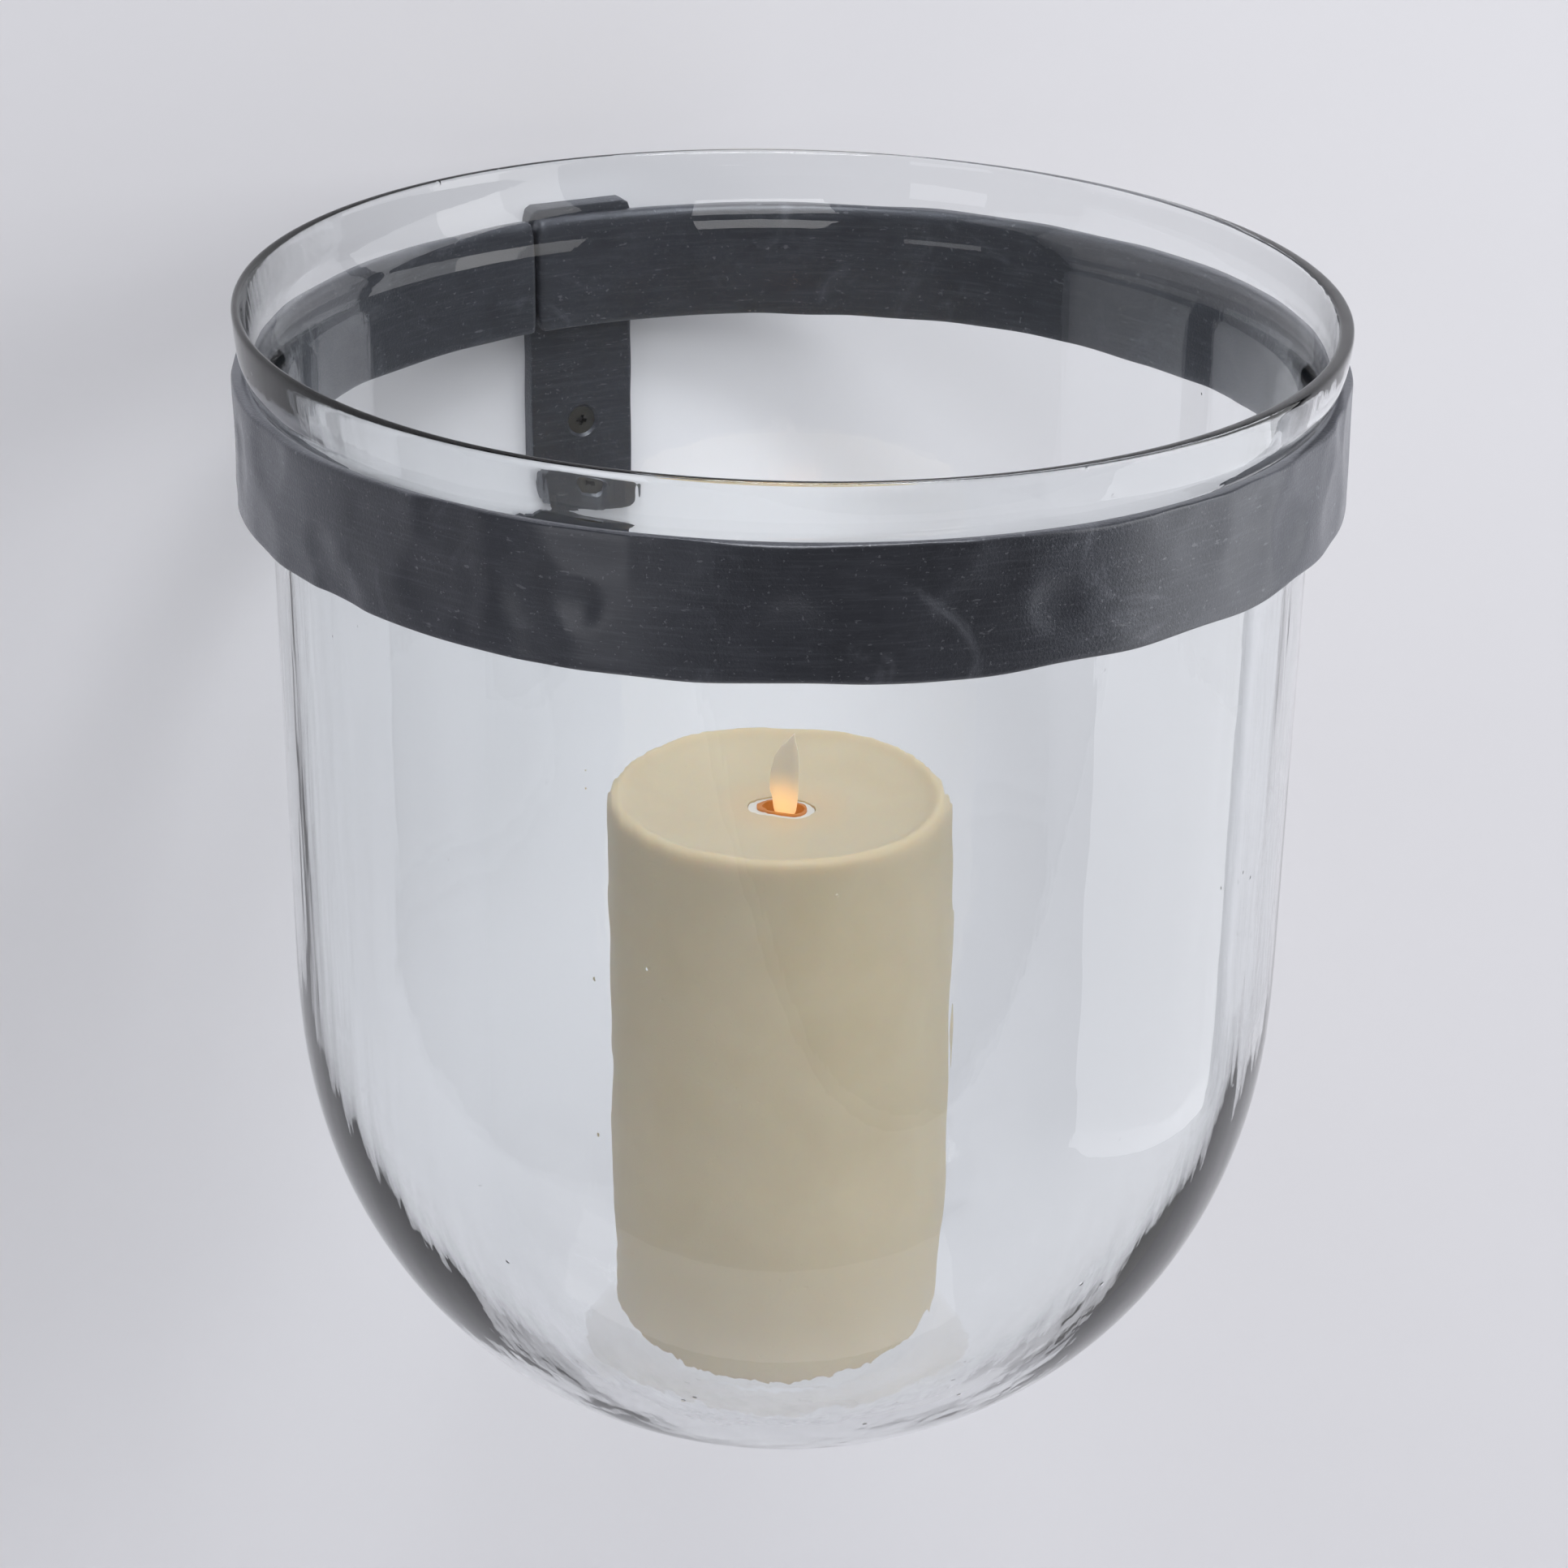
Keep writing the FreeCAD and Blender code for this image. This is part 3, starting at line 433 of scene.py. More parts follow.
def cell_paint():
    p = Paint("cell_jacket")
    low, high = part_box("battery_cells")
    height = p.axis("Z")
    ends = (p.band(height, low.z + 0.0032, low.z + 0.0029)
            + p.band(height, high.z - 0.0032, high.z - 0.0029))
    stripe = p.band(height, high.z - 0.0165, high.z - 0.0162)
    cloud = p.noise(260, 3)
    jacket = p.mix(stripe, (0.035, 0.040, 0.052), (0.30, 0.31, 0.33))
    worn = p.mix(cloud * 0.35, jacket, (0.16, 0.165, 0.18))
    colour = p.mix(ends, worn, (0.62, 0.61, 0.58))
    shader = p.principled({"Base Color": colour, "Metallic": ends, "Roughness": 0.24 + 0.16 * cloud,
                           "Normal": p.bump(cloud, 0.00004, 0.5)})
    return p.done(shader)


COPPER, BOARD, CELLS = winding_paint(), board_paint(), cell_paint()
print("finishes", len(bpy.data.materials))

# %% [markdown]
# ## The iron ring
# Flat bar, 35 by 6 mm, is rolled into a ring and its ends butt together behind the plate's left edge. The
# section is spun nearly all the way round, which leaves the hairline seam, and then hammered: shallow dents
# on the outside, edges that wander a little, and a top edge drawn up by the hammer at the front left. The
# inner face stays true, because the bell hangs close to it.

# %% Hammer marks that only sink in
rng = random.Random(7)


def dent_field(count, reach, low, high, size, depth):
    """Dents as (position along, height, radius, depth), in metres."""
    return [(rng.uniform(*reach), rng.uniform(low, high), rng.uniform(*size), rng.uniform(*depth))
            for _ in range(count)]


def sunk(dents, along, height, wrap=None):
    """How deep the hammered face lies at a place: each dent is a shallow dish with a soft edge."""
    total = 0.0
    for place, level, size, depth in dents:
        away = abs(along - place)
        if wrap:
            away = min(away, wrap - away)
        if away < 1.5 * size:
            far = (away * away + (height - level) ** 2) / (size * size)
            if far < 2.2:
                total = max(total, depth * math.exp(-1.4 * far * far))
    return total


# %% Roll the ring from its bar section
RING_TOP, RING_BOTTOM = ring_high.z, ring_low.z
RING_INNER_R = RING_R - BAR
SEAM_X = plate_low.x
SEAM_GAP = 0.5 * MM
EDGE, SEAT = 0.8 * MM, 1.5 * MM


def bar_section():
    """The bar's outline as (radius, height), with points to carry the hammering on its outer face."""
    corners = [(RING_INNER_R, RING_BOTTOM + EDGE), (RING_INNER_R + EDGE * 0.3, RING_BOTTOM + EDGE * 0.3),
               (RING_INNER_R + EDGE, RING_BOTTOM), (RING_R - EDGE, RING_BOTTOM),
               (RING_R - EDGE * 0.3, RING_BOTTOM + EDGE * 0.3), (RING_R, RING_BOTTOM + EDGE)]
    rise = RING_TOP - RING_BOTTOM - 2 * EDGE
    outer = [(RING_R, RING_BOTTOM + EDGE + rise * i / 14) for i in range(1, 15)]
    top = [(RING_R - EDGE * 0.3, RING_TOP - EDGE * 0.3), (RING_R - EDGE, RING_TOP),
           (RING_R - 2.6 * MM, RING_TOP), (RING_INNER_R + SEAT, RING_TOP), (RING_INNER_R, RING_TOP - SEAT)]
    inner = [(RING_INNER_R, RING_TOP - SEAT - (rise - SEAT) * i / 5) for i in range(1, 5)]
    return corners + outer + top + inner


middle_r = RING_R - BAR / 2
seam_turn = math.acos(SEAM_X / middle_r)
gap_turn = SEAM_GAP / (middle_r * math.sin(seam_turn))
bm = spun(bar_section(), AXIS, 420, 2 * math.pi - gap_turn, seam_turn, loop=True)
bmesh.ops.holes_fill(bm, edges=[e for e in bm.edges if e.is_boundary], sides=60)
ring_dents = dent_field(120, (0, 2 * math.pi * RING_R), RING_BOTTOM, RING_TOP, (6 * MM, 14 * MM),
                        (0.3 * MM, 1.1 * MM))
round_the_ring = 2 * math.pi * RING_R
FACE_WANDER, LOW_WANDER, TOP_WANDER = 0.22 * MM, 1.1 * MM, 0.9 * MM
CROWN_TURN, CROWN_HIGH, SEAT_SLOPE = math.radians(-132), 3.1 * MM, 0.55
BEHIND_HALF, BEHIND_FADE = 24 * MM, 12 * MM
for v in bm.verts:
    flat = v.co - AXIS
    r, turn = math.hypot(flat.x, flat.y), math.atan2(flat.y, flat.x) % (2 * math.pi)
    z = v.co.z
    outer = max(0.0, (r - middle_r) / (BAR / 2))
    behind = min(1.0, max(0.0, (abs(flat.x) - BEHIND_HALF) / BEHIND_FADE)) if flat.y > 0 else 1.0
    depth = sunk(ring_dents, turn * RING_R, z, round_the_ring) * behind
    wander = FACE_WANDER * (1 + noise.noise(Vector((flat.x * 25, flat.y * 25, 3.7)))) * outer
    r -= (depth + wander * behind) * outer
    edge = (z - RING_BOTTOM) / (RING_TOP - RING_BOTTOM)
    lift = noise.noise(Vector((flat.x * 34, flat.y * 34, 9.1)))
    drop = noise.noise(Vector((flat.x * 40, flat.y * 40, 1.3)))
    z += LOW_WANDER * drop * behind * max(0.0, 1 - 5 * edge)
    z += TOP_WANDER * lift * behind * max(0.0, 5 * edge - 4) * outer
    crown = CROWN_HIGH * max(0.0, math.cos(turn - CROWN_TURN)) ** 2
    if r > RING_INNER_R + 1 * MM:
        z += crown * max(0.0, 6 * edge - 5)
        r += SEAT_SLOPE * crown if r < RING_INNER_R + 2 * MM and edge > 0.9 else 0
    v.co = AXIS + Vector((math.cos(turn) * r, math.sin(turn) * r, z))
    v.co.y = min(v.co.y, PLATE_FRONT)
put("ring_band_hammered", bm, "root", IRON, ["ring_band"], rounds=1)

# %% [markdown]
# ## The wall plate
# The same bar, upright, carries the ring. Its top corners are clipped, its bottom corners rounded, and two
# countersunk holes take the screws. A block is bevelled in two passes, cut fine enough to hammer its faces,
# and the holes are carved last so that they stay round.

# %% Forge the plate
def carver(name, outline, centre, steps=48):
    """A cutter spun round an axis that points into the wall."""
    cutter = spun([(r, d) for r, d in outline], Vector((0, 0, 0)), steps)
    turn = Matrix.Rotation(math.radians(-90), 4, "X")
    bmesh.ops.transform(cutter, matrix=Matrix.Translation(centre) @ turn, verts=cutter.verts)
    return put(name, cutter)


def upright_edges(bm, level, at_top):
    return [e for e in bm.edges if abs((e.verts[0].co - e.verts[1].co).normalized().y) > 0.99
            and (e.verts[0].co.z > level) == at_top and abs(e.verts[0].co.z - e.verts[1].co.z) < 1e-5]


bm = bmesh.new()
plate_size, plate_middle = plate_high - plate_low, (plate_high + plate_low) / 2
bmesh.ops.create_cube(bm, size=1,
                      matrix=Matrix.Translation(plate_middle) @ Matrix.Diagonal((*plate_size, 1)))
bmesh.ops.bevel(bm, geom=upright_edges(bm, 0, False), offset=7 * MM, affect="EDGES", segments=8,
                profile=0.5, material=-1)
bmesh.ops.bevel(bm, geom=upright_edges(bm, 0.05, True), offset=3 * MM, affect="EDGES", segments=2,
                profile=0.5, material=-1)
front = [e for e in bm.edges if all(abs(v.co.y - PLATE_FRONT) < 1e-5 for v in e.verts)]
bmesh.ops.bevel(bm, geom=front, offset=0.7 * MM, affect="EDGES", segments=2, profile=0.5, material=-1)
for cut_z in range(-30, 90, 4):
    bmesh.ops.bisect_plane(bm, geom=bm.verts[:] + bm.edges[:] + bm.faces[:],
                           plane_co=(0, 0, cut_z * MM), plane_no=(0, 0, 1))
for cut_x in range(-16, 18, 4):
    bmesh.ops.bisect_plane(bm, geom=bm.verts[:] + bm.edges[:] + bm.faces[:],
                           plane_co=(cut_x * MM, 0, 0), plane_no=(1, 0, 0))
plate_dents = dent_field(26, (-18 * MM, 18 * MM), -32 * MM, 52 * MM, (4 * MM, 9 * MM),
                         (0.08 * MM, 0.3 * MM))
for v in bm.verts:
    hole_gap = min(math.hypot(v.co.x, v.co.z - s * 20 * MM) for s in (-1, 1))
    hold = min(1.0, max(0.0, (hole_gap - 6 * MM) / (4 * MM)))
    if v.co.y < PLATE_FRONT + 1 * MM and v.co.z < 51 * MM:
        v.co.y += sunk(plate_dents, v.co.x, v.co.z) * hold
    side = abs(v.co.x) / plate_high.x
    v.co.x -= math.copysign(0.3 * MM * (1 + noise.noise(v.co * 60)) * max(0.0, side * 8 - 7), v.co.x)
plate = put("wall_plate_forged", bm, None, IRON, ["wall_plate"])
holes = [carver("hole", [(0, -1 * MM), (6.4 * MM, -1 * MM), (5.4 * MM, 0), (2.9 * MM, 2.5 * MM),
                         (2.9 * MM, 9 * MM), (0, 9 * MM)], Vector((0, PLATE_FRONT, s * 20 * MM)))
         for s in (-1, 1)]
carve(plate, holes)
crisp(plate, 30)
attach(plate, "root")

# %% [markdown]
# ## The wall screws
# A countersunk cross-head wood screw is a spun blank with a cross cut in its head, and a thread that is a
# small V turned while it moves along: a spin with a step forward at each turn.

# %% Turn the screws and cut their threads
def into_wall(bm, centre):
    bmesh.ops.transform(bm, matrix=Matrix.Translation(centre) @ Matrix.Rotation(math.radians(-90), 4, "X"),
                        verts=bm.verts)
    return bm


def wall_screw(height, turned):
    head_y = PLATE_FRONT + 0.7 * MM
    blank = [(0, 0.12 * MM), (2.2 * MM, 0.06 * MM), (4.2 * MM, 0.1 * MM), (4.55 * MM, 0.22 * MM),
             (4.6 * MM, 0.4 * MM), (1.95 * MM, 3.0 * MM), (1.85 * MM, 3.4 * MM), (1.85 * MM, 6 * MM),
             (1.7 * MM, 7 * MM), (1.7 * MM, 32 * MM), (1.2 * MM, 35 * MM), (0.3 * MM, 38.1 * MM),
             (0, 38.2 * MM)]
    screw = put("screw", into_wall(spun(blank, Vector((0, 0, 0)), 48), Vector((0, head_y, height))))
    cross = []
    for quarter in (0, 90):
        arm = bmesh.new()
        bmesh.ops.create_cube(arm, size=1, matrix=Matrix.Diagonal((5 * MM, 3.6 * MM, 1.15 * MM, 1)))
        for v in arm.verts:
            if v.co.y > 0:
                v.co.x *= 0.4
        bmesh.ops.transform(arm, verts=arm.verts, matrix=Matrix.Translation((0, head_y, height))
                            @ Matrix.Rotation(math.radians(quarter + turned), 4, "Y"))
        cross.append(put("arm", arm))
    carve(screw, cross)
    thread = bmesh.new()
    pitch, turns, steps = 2.1 * MM, 14, 24
    root_r, crest_r, ridge_high = 1.6 * MM, 2.38 * MM, 0.9 * MM
    ridge = ((root_r, 0, 0), (crest_r, 0, ridge_high / 2), (root_r, 0, ridge_high))
    thread.faces.new([thread.verts.new(p) for p in ridge])
    bmesh.ops.spin(thread, geom=thread.verts[:] + thread.edges[:] + thread.faces[:], cent=(0, 0, 0),
                   axis=UP, angle=2 * math.pi * turns, steps=steps * turns, dvec=UP * (pitch / steps))
    into_wall(thread, Vector((0, 1.2 * MM, height)))
    thread.from_mesh(screw.data)
    bpy.data.objects.remove(screw)
    return thread


both = bmesh.new()
for height, turned in ((20 * MM, 12), (-20 * MM, -31)):
    one = wall_screw(height, turned)
    spare = bpy.data.meshes.new("spare")
    one.to_mesh(spare)
    one.free()
    both.from_mesh(spare)
screws = put("wall_screws_threaded", both, "root", SCREW_STEEL, ["wall_screws"])
crisp(screws, 28)

# %% [markdown]
# ## The glass bell
# A gaffer blows the bell, flares its collar over a form and grinds the rim. Half of its section, from the
# middle of the outside, over the rim and back to the middle of the inside, is spun right round. Then the
# round is made human: the rim is a little out of level and thicker on one side, and the inner wall has long
# soft ripples, with folds under the candle. The shoulder that rests in the ring stays true. The base is one
# even thickness, because a base that thickens inwards would trap light and look black.

# %% Draw the bell's section
RIM_Z = 106 * MM
BOWL_Z = RIM_Z - 199 * MM
BOWL_R, BOWL_DEPTH = 144.8 * MM, 148.5 * MM
WALL, BASE = 3.6 * MM, 7.4 * MM
NECK_OUT_R, NECK_OUT_Z = 147.2 * MM, RIM_Z - 30 * MM
NECK_IN_R, NECK_IN_Z = 143.6 * MM, RIM_Z - 31.5 * MM
BOWL_POWER = 2.163


def bowl(count, wall, base):
    """Points down a bowl a touch squarer than a half round, set in from the outside by its thickness."""
    made = []
    for i in range(1, count + 1):
        angle = math.pi / 2 * i / count
        out = max(math.cos(angle), 0) ** (2 / BOWL_POWER) if i < count else 0.0
        down = math.sin(angle) ** (2 / BOWL_POWER)
        facing = Vector((out ** (BOWL_POWER - 1) / BOWL_R,
                         down ** (BOWL_POWER - 1) / BOWL_DEPTH)).normalized()
        deep = min(1.0, down / 0.7)
        thick = wall + (base - wall) * deep * deep * (3 - 2 * deep)
        made.append((BOWL_R * out - facing.x * thick if i < count else 0.0,
                     BOWL_Z - BOWL_DEPTH * down + facing.y * thick))
    return made


shoulder_out = eased([(156.0 * MM, RIM_Z - 1.2 * MM), (155.2 * MM, RIM_Z - 9 * MM),
                      (154.1 * MM, RIM_Z - 14 * MM), (151.6 * MM, RIM_Z - 18.2 * MM),
                      (149.2 * MM, RIM_Z - 21.4 * MM), (147.8 * MM, RIM_Z - 25.2 * MM),
                      (NECK_OUT_R, NECK_OUT_Z)], 3)
shoulder_in = eased([(NECK_IN_R, NECK_IN_Z), (144.1 * MM, RIM_Z - 26.5 * MM),
                     (145.5 * MM, RIM_Z - 22.4 * MM), (147.9 * MM, RIM_Z - 18.6 * MM),
                     (149.9 * MM, RIM_Z - 14.4 * MM), (151.3 * MM, RIM_Z - 9 * MM),
                     (152.6 * MM, RIM_Z - 1.0 * MM)], 3)
wall_out = [(NECK_OUT_R + (BOWL_R - NECK_OUT_R) * i / 7, NECK_OUT_Z + (BOWL_Z - NECK_OUT_Z) * i / 7)
            for i in range(1, 8)]
wall_in = [(NECK_IN_R + (BOWL_R - WALL - NECK_IN_R) * i / 7, NECK_IN_Z + (BOWL_Z - NECK_IN_Z) * i / 7)
           for i in range(7, 0, -1)]
rim = [(155.7 * MM, RIM_Z - 0.35 * MM), (155.0 * MM, RIM_Z), (153.7 * MM, RIM_Z),
       (153.0 * MM, RIM_Z - 0.3 * MM)]
outside = (shoulder_out + wall_out + bowl(16, 0, 0))[::-1]
inside = (bowl(16, WALL, BASE)[::-1] + wall_in + shoulder_in)[::-1]

# %% Blow the bell
def inner_face(r, z):
    """Whether a point low in the bowl lies on its inner face."""
    share = (r / BOWL_R) ** BOWL_POWER + (max(0.0, BOWL_Z - z) / BOWL_DEPTH) ** BOWL_POWER
    return share < 0.97


bm = spun(outside + rim + inside, AXIS, 192)
TILT = math.tan(math.radians(0.745))
THIN_SIDE = 0.95 * MM
FOLDS_DOWN, FOLDS_REACH, FOLDS_HIGH = 116 * MM, 24 * MM, 1.1 * MM
for v in bm.verts:
    flat = v.co - AXIS
    r, turn, z = math.hypot(flat.x, flat.y), math.atan2(flat.y, flat.x), v.co.z
    up = min(1.0, max(0.0, (z - RIM_Z + 16 * MM) / (16 * MM)))
    centre_r = 154.3 * MM if z > RIM_Z - 9 * MM else 152.9 * MM
    if z > RIM_Z - 14 * MM and r < centre_r:
        r -= THIN_SIDE * math.cos(turn) * up
    if BOWL_Z - 90 * MM < z < RIM_Z - 34 * MM and r < BOWL_R - WALL / 2:
        fade = min(1.0, (RIM_Z - 34 * MM - z) / (20 * MM)) * min(1.0, (z - BOWL_Z + 90 * MM) / (60 * MM))
        ripple = noise.noise(Vector((math.cos(turn) * 5, math.sin(turn) * 5, z * 6)))
        fine = noise.noise(Vector((math.cos(turn) * 17, math.sin(turn) * 17, z * 11 + 5)))
        r += fade * (0.35 * MM * ripple + 0.10 * MM * fine)
    if z < BOWL_Z - 90 * MM and r < BOWL_R * 0.93 and z > BOWL_Z - BOWL_DEPTH + BASE - 0.5 * MM:
        folds = noise.noise(Vector((flat.x * 22, flat.y * 22, z * 60)))
        near_foot = max(0.0, 1 - abs(z - BOWL_Z + FOLDS_DOWN) / FOLDS_REACH) if inner_face(r, z) else 0
        z += FOLDS_HIGH * folds * near_foot
    v.co = AXIS + Vector((math.cos(turn) * r, math.sin(turn) * r, z))
    v.co.z -= TILT * v.co.x * up
put("glass_bell", bm, "vessel", GLASS, ["glass_vessel"], rounds=1)

# %% [markdown]
# ## The wax pillar
# Real wax cast as a sleeve round a plastic core, with a top that looks burned down: a thin standing lip and a
# shallow dish. The section is spun, the lip is let wander, and the flame's slot is carved through the roof.

# %% Cast the wax
WAX_R, WAX_TOP = (wax_high.x - wax_low.x) / 2, wax_high.z - wax_low.z
CAVITY_R, CAVITY_TOP = 41 * MM, 156 * MM
DISH = WAX_TOP - 6 * MM
wax_line = ([(CAVITY_R, 0), (45 * MM, 0), (WAX_R - 1.6 * MM, 0), (WAX_R - 0.4 * MM, 0.5 * MM),
             (WAX_R, 1.8 * MM)] + [(WAX_R, 1.8 * MM + (WAX_TOP - 5 * MM) * i / 24) for i in range(1, 25)]
            + [(WAX_R - 0.45 * MM, WAX_TOP - 1.5 * MM), (WAX_R - 1.6 * MM, WAX_TOP - 0.35 * MM),
               (WAX_R - 2.9 * MM, WAX_TOP - 0.1 * MM), (WAX_R - 4.3 * MM, WAX_TOP - 0.8 * MM),
               (WAX_R - 6.2 * MM, WAX_TOP - 2.0 * MM), (40 * MM, WAX_TOP - 3.1 * MM),
               (33 * MM, DISH + 1.6 * MM), (26 * MM, DISH + 0.8 * MM), (18 * MM, DISH + 0.3 * MM),
               (10 * MM, DISH), (0, DISH), (0, CAVITY_TOP), (20 * MM, CAVITY_TOP),
               (CAVITY_R - 1 * MM, CAVITY_TOP), (CAVITY_R, CAVITY_TOP - 1 * MM), (CAVITY_R, 1 * MM)])
bm = bmesh.new()
row = [bm.verts.new(CANDLE + Vector((r, 0, z))) for r, z in wax_line]
for a, b in zip(row, row[1:] + row[:1]):
    if a.co.x > CANDLE.x + 1e-6 or b.co.x > CANDLE.x + 1e-6:
        bm.edges.new((a, b))
bmesh.ops.spin(bm, geom=bm.verts[:] + bm.edges[:], cent=CANDLE, axis=UP, angle=2 * math.pi, steps=128,
               use_merge=True)
bmesh.ops.remove_doubles(bm, verts=bm.verts, dist=1e-6)
for v in bm.verts:
    flat = v.co - CANDLE
    r, turn = math.hypot(flat.x, flat.y), math.atan2(flat.y, flat.x)
    if r > 34 * MM and flat.z > WAX_TOP - 9 * MM:
        lift = noise.noise(Vector((math.cos(turn) * 1.7, math.sin(turn) * 1.7, 4.2)))
        fine = noise.noise(Vector((math.cos(turn) * 6, math.sin(turn) * 6, 8.5)))
        v.co.z -= (0.45 * MM * (1 + lift) + 0.12 * MM * (1 + fine)) * min(1.0, (r - 34 * MM) / (8 * MM))
    elif r > WAX_R - 1 * MM and 14 * MM < flat.z:
        v.co -= 0.12 * MM * (1 + noise.noise(flat * 22)) * Vector((math.cos(turn), math.sin(turn), 0))
wax = put("wax_pillar_cast", bm, None, WAX, ["wax_pillar"], rounds=1)

# %% Carve the flame's slot
FLAME_TURN = math.radians(-40)
WELL_LENGTH, WELL_WIDTH = 21.4 * MM, 14.4 * MM


def slot_block(length, width, low, high):
    """An upright block with round ends, turned with the flame: a disc pulled out sideways and up."""
    bm = bmesh.new()
    bmesh.ops.create_circle(bm, cap_ends=True, segments=64, radius=width / 2)
    for v in bm.verts:
        v.co.x += math.copysign((length - width) / 2, v.co.x) if abs(v.co.x) > 1e-6 else 0
    walls = bmesh.ops.extrude_face_region(bm, geom=bm.faces[:])
    lifted = [v for v in walls["geom"] if isinstance(v, bmesh.types.BMVert)]
    bmesh.ops.translate(bm, verts=lifted, vec=UP * (high - low))
    place = Matrix.Translation(CANDLE + UP * low) @ Matrix.Rotation(FLAME_TURN, 4, "Z")
    bmesh.ops.transform(bm, verts=bm.verts, matrix=place)
    return bm


carve(wax, [put("slot", slot_block(WELL_LENGTH, WELL_WIDTH, CAVITY_TOP - 3 * MM, WAX_TOP + 3 * MM))])
crisp(wax, 55)
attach(wax, "candle")

# %% [markdown]
# ## The flame
# A thin milky leaf with a blown-over tip hangs on a wire through its stem. A grid is given the leaf's outline
# row by row, pulled to two crowned faces, and pierced for the wire.

# %% Shape the flame
def through(points, t):
    """The value at t on the broken line through (t, value) points."""
    for (t0, v0), (t1, v1) in zip(points, points[1:]):
        if t <= t1:
            s = min(max((t - t0) / (t1 - t0), 0.0), 1.0)
            return v0 + (v1 - v0) * s
    return points[-1][1]


STEM_LOW, TIP_HIGH, LEAF_HALF_THICK = -18.5, 28.4, 0.58
LEAF_RIGHT = [(h, w) for w, h in eased([
    (1.7, STEM_LOW), (1.7, -8), (1.75, -2.5), (3.0, 0.8), (4.7, 4.2), (5.6, 8.2), (5.8, 12.5), (5.5, 19.0),
    (4.6, 24.6), (3.95, TIP_HIGH)], 4)]
LEAF_LEFT = [(h, w) for w, h in eased([
    (-1.7, STEM_LOW), (-1.7, -8), (-1.75, -2.5), (-2.9, 0.8), (-4.5, 4.2), (-5.4, 8.2), (-5.6, 11.5),
    (-4.6, 17.5), (-1.4, 23.4), (3.75, TIP_HIGH)], 4)]
PIVOT = CANDLE + UP * (171 * MM)
bm = bmesh.new()
bmesh.ops.create_grid(bm, x_segments=10, y_segments=56, size=1)
back = bmesh.ops.extrude_face_region(bm, geom=bm.faces[:])
far_side = {v for v in back["geom"] if isinstance(v, bmesh.types.BMVert)}
for v in bm.verts:
    across, height = v.co.x, STEM_LOW + (v.co.y + 1) / 2 * (TIP_HIGH - STEM_LOW)
    left, right = through(LEAF_LEFT, height), through(LEAF_RIGHT, height)
    x = (left + right) / 2 + across * (right - left) / 2
    thick = LEAF_HALF_THICK * (1 - 0.6 * across ** 6) * (1 - 0.35 * max(0.0, (height - 14) / 14) ** 2)
    v.co = Vector((x, thick if v in far_side else -thick, height)) * MM
bmesh.ops.transform(bm, verts=bm.verts,
                    matrix=Matrix.Translation(PIVOT) @ Matrix.Rotation(FLAME_TURN, 4, "Z"))
leaf = put("flame_leaf", bm, None, FLAME, ["flame_blade"])
pin = spun([(0, -3 * MM), (0.45 * MM, -3 * MM), (0.45 * MM, 3 * MM), (0, 3 * MM)], Vector((0, 0, 0)), 24)
bmesh.ops.transform(pin, verts=pin.verts, matrix=Matrix.Translation(PIVOT)
                    @ Matrix.Rotation(FLAME_TURN, 4, "Z") @ Matrix.Rotation(math.radians(90), 4, "X"))
carve(leaf, [put("pin", pin)])
crisp(leaf, 60)
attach(leaf, "flame")

# %% [markdown]
# ## Finishes for the pieces that keep their shape
# The welds and the candle's inner works are already the right shape, so they only take their finish.

# %% Hand out the finishes
FINISHES = {
    "plate_welds": IRON, "core_housing": CORE_PLASTIC, "battery_tray": CORE_PLASTIC, "flame_collar": AMBER,
    "pivot_wire": BRIGHT_STEEL, "led_lamp": LAMP, "coil_bobbin": NYLON, "switch_slider": NYLON,
    "drive_coil": COPPER, "circuit_board": BOARD, "battery_cells": CELLS, "contact_springs": NICKEL,
    "contact_strips": NICKEL, "flame_magnet": NICKEL, "base_cap": BASE_PLASTIC, "battery_door": BASE_PLASTIC,
    "switch_body": BASE_PLASTIC, "board_screws": SCREW_STEEL, "base_screws": SCREW_STEEL,
    "door_screw": SCREW_STEEL,
}
for name, finish in FINISHES.items():
    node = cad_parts[name]
    node.data.materials.clear()
    node.data.materials.append(finish)
print("finished nodes", len(FINISHES))

# %% [markdown]
# ## Wall, floor and light
# The sconce hangs on a plain pale wall, with a pale floor well below. The wall is open behind the plate and
# can be seen through from its back, so that the plate's back and the screws can be looked at too. A key and
# a big soft panel at the right give the bar its slate sheen and model the candle. Lights above and in front
# fill in, a weak one comes up from below, and the left stays dim.

# %% Build the stage
def stage_paint(name, colour):
    p = Paint(name)
    cloud = p.noise(2.5, 2)
    front = p.principled({"Base Color": p.mix(cloud, colour, tuple(0.97 * c for c in colour)),
                          "Roughness": 0.8 + 0.05 * cloud, "Specular IOR Level": 0.2})
    behind = p.node("ShaderNodeNewGeometry", out="Backfacing")
    clear = p.node("ShaderNodeBsdfTransparent")
    return p.done(p.node("ShaderNodeMixShader", None, {0: behind, 1: front, 2: clear}))


WALL_PAINT = stage_paint("wall_paint", (0.745, 0.742, 0.775))
FLOOR_PAINT = stage_paint("floor_paint", (0.74, 0.735, 0.74))
WALL_HALF, FLOOR_Z, WALL_TOP = 3.0, -1.25, 2.4
OPEN_INSET = 1.5 * MM

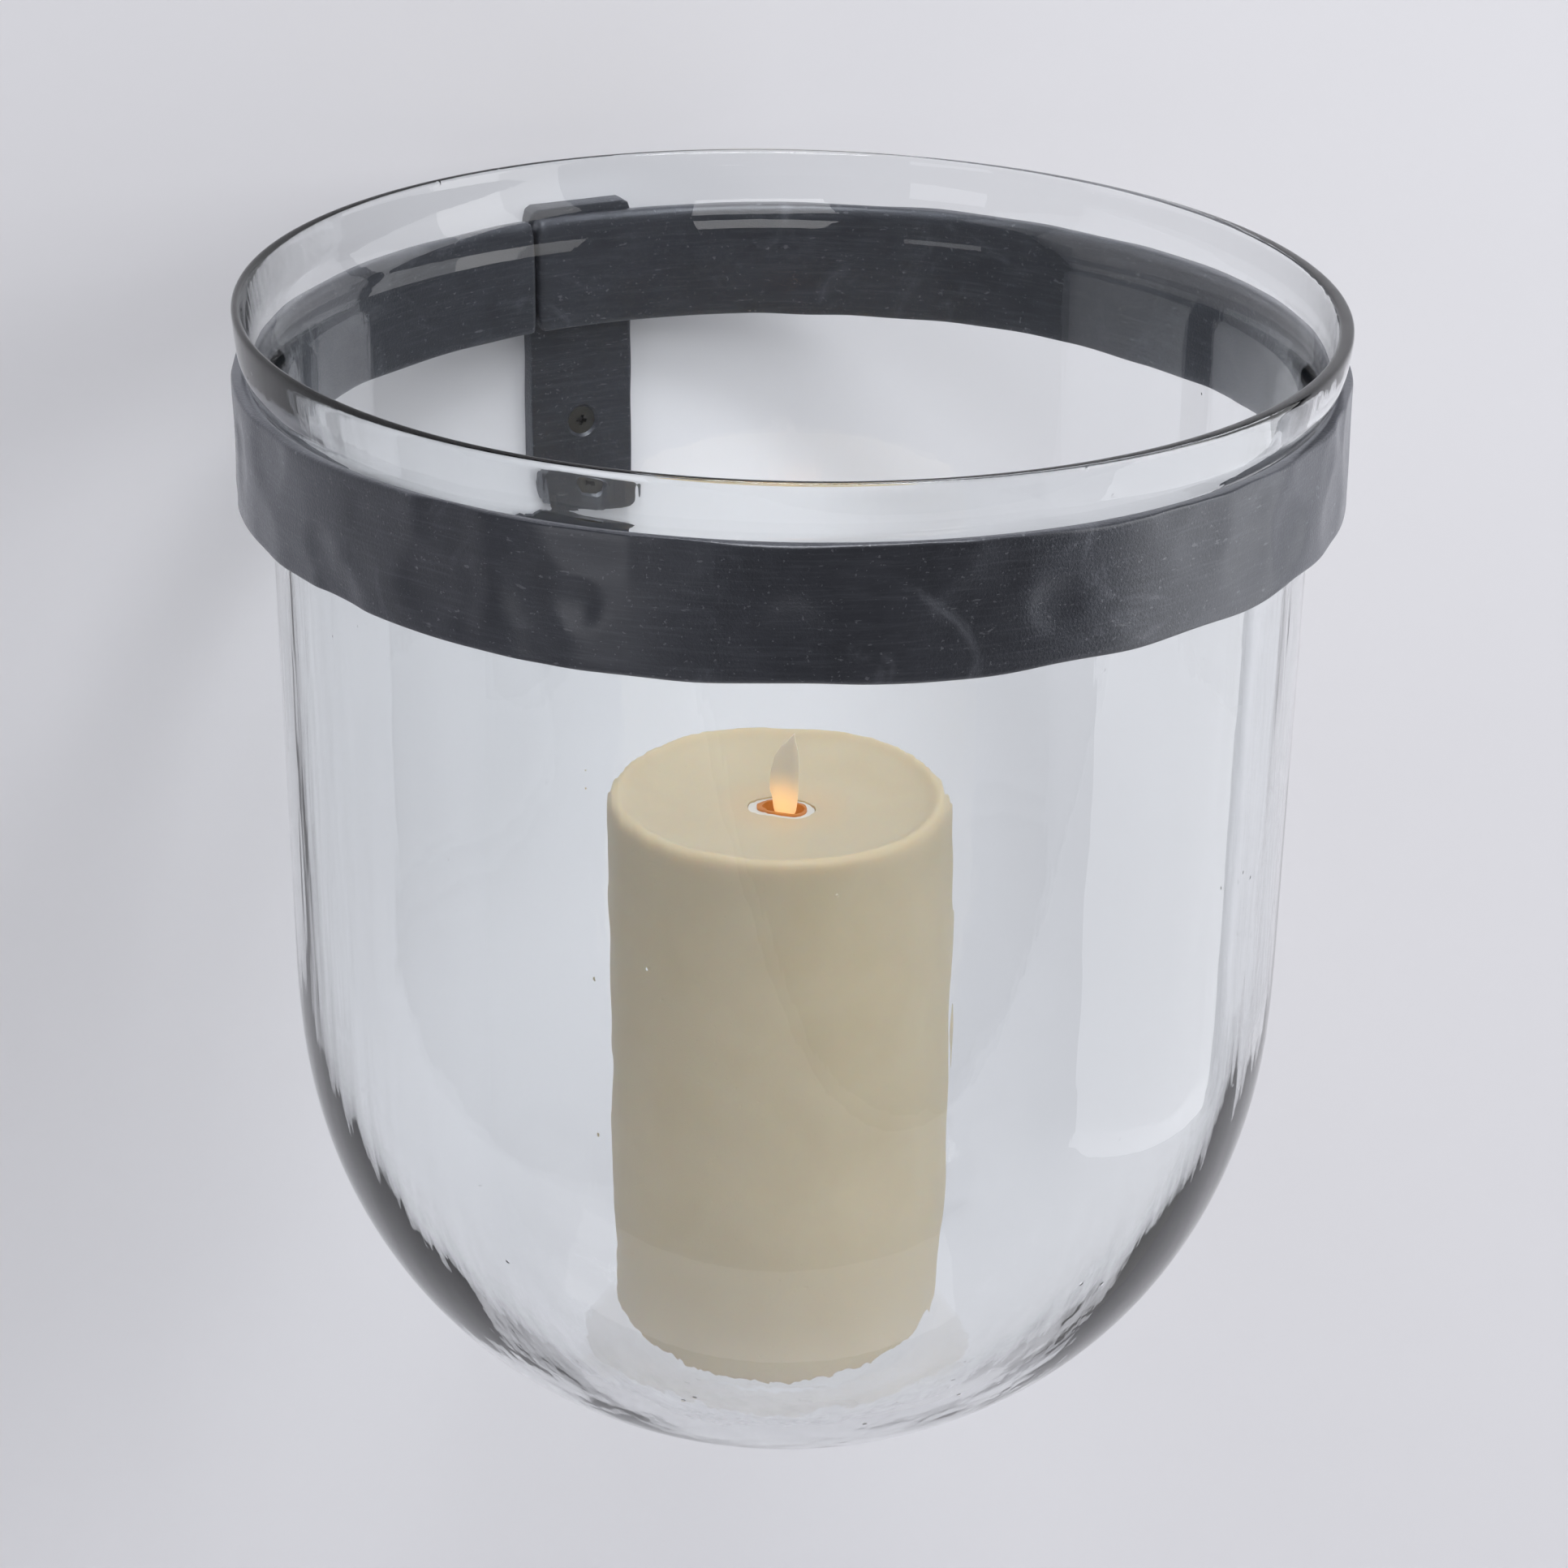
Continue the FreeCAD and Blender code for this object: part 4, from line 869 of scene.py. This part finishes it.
bm = bmesh.new()
bmesh.ops.create_grid(bm, x_segments=1, y_segments=1, size=0.5)
for v in bm.verts:
    v.co = Vector((v.co.x * 2 * WALL_HALF, 0.0003, FLOOR_Z if v.co.y < 0 else WALL_TOP))
for x in (plate_low.x + OPEN_INSET, plate_high.x - OPEN_INSET):
    bmesh.ops.bisect_plane(bm, geom=bm.verts[:] + bm.edges[:] + bm.faces[:], plane_co=(x, 0, 0),
                           plane_no=(1, 0, 0))
for z in (plate_low.z + 8 * MM, plate_high.z - 4 * MM):
    bmesh.ops.bisect_plane(bm, geom=bm.verts[:] + bm.edges[:] + bm.faces[:], plane_co=(0, 0, z),
                           plane_no=(0, 0, 1))
middle_face = min(bm.faces, key=lambda f: (f.calc_center_median() - plate_middle).length)
bmesh.ops.delete(bm, geom=[middle_face], context="FACES_ONLY")
for f in bm.faces:
    f.normal_update()
    if f.normal.y > 0:
        f.normal_flip()
wall = put("studio_wall", bm, finish=WALL_PAINT, turn_out=False)

bm = bmesh.new()
bmesh.ops.create_grid(bm, x_segments=1, y_segments=1, size=0.5,
                      matrix=Matrix.Translation((0, -1.15, FLOOR_Z)) @ Matrix.Diagonal((6, 2.3, 1, 1)))
floor = put("studio_floor", bm, finish=FLOOR_PAINT, turn_out=False)

# %% Hang the lights
def soft_light(name, place, aim, width, height, power, tint=(1, 1, 1)):
    data = bpy.data.lights.new(name, "AREA")
    data.shape, data.size, data.size_y = "RECTANGLE", width, height
    data.energy, data.color = power, tint
    light = bpy.data.objects.new(name, data)
    light.visible_transmission = False
    facing = (Vector(aim) - Vector(place)).to_track_quat("-Z", "Y")
    light.matrix_world = Matrix.Translation(place) @ facing.to_matrix().to_4x4()
    bpy.context.scene.collection.objects.link(light)


AIM = (0.0, AXIS.y, -0.05)
soft_light("key_right", (1.16, -1.30, 0.45), AIM, 1.0, 1.0, 6, (1.0, 0.99, 0.98))
soft_light("side_right", (1.70, -0.90, -0.10), AIM, 1.6, 2.5, 19, (0.97, 0.98, 1.0))
soft_light("front_top", (-0.6, -2.2, 1.9), AIM, 1.4, 1.0, 14, (0.99, 0.99, 1.0))
soft_light("overhead_near", (0.15, -1.0, 1.7), AIM, 0.6, 0.4, 12, (0.98, 0.985, 1.0))
soft_light("overhead_far", (-0.35, -0.7, 1.8), AIM, 0.5, 0.4, 12, (0.98, 0.985, 1.0))
soft_light("fill_left", (-1.9, -1.2, 0.0), AIM, 0.7, 1.4, 5, (0.95, 0.96, 1.0))
soft_light("low_bounce", (-0.3, -0.6, -1.1), (0, 0, -0.45), 1.4, 0.7, 2, (0.98, 0.98, 1.0))
soft_light("behind", (0.0, 1.2, 0.3), (0, 0, 0.03), 0.8, 0.8, 6)

world = bpy.data.worlds.new("room")
world.use_nodes = True
sky = world.node_tree.nodes["Background"]
sky.inputs["Color"].default_value = (0.92, 0.93, 1.0, 1)
sky.inputs["Strength"].default_value = 0.09
bpy.context.scene.world = world
bpy.context.scene.view_settings.view_transform = "Standard"

# %% [markdown]
# ## Camera
# The camera stands a little over a metre off, above the rim and to the left of square, and looks down into
# the bell. Its place is given round the bell's own axis: a distance, a rise and a turn.

# %% Stand the camera
REACH, RISE, LENS_MM = 1.1586, 0.3631, 99.24
VIEW_TURN, PITCH, YAW, ROLL = (math.radians(a) for a in (25.35, 23.845, -0.048, 0.668))

forward = Vector((math.sin(YAW) * math.cos(PITCH), math.cos(YAW) * math.cos(PITCH), -math.sin(PITCH)))
right = forward.cross(UP).normalized()
above = right.cross(forward)
level = Matrix((math.cos(ROLL) * right + math.sin(ROLL) * above,
                math.cos(ROLL) * above - math.sin(ROLL) * right, -forward)).transposed()
swing = Matrix.Rotation(-VIEW_TURN, 3, "Z")
camera_data = bpy.data.cameras.new("camera")
camera_data.lens, camera_data.sensor_width = LENS_MM, 36.0
camera = bpy.data.objects.new("camera", camera_data)
camera.matrix_world = (Matrix.Translation(AXIS + UP * RIM_Z + swing @ Vector((0, -REACH, RISE)))
                       @ (swing @ level).to_4x4())
bpy.context.scene.collection.objects.link(camera)
bpy.context.scene.camera = camera
print("camera at", camera.matrix_world.translation)
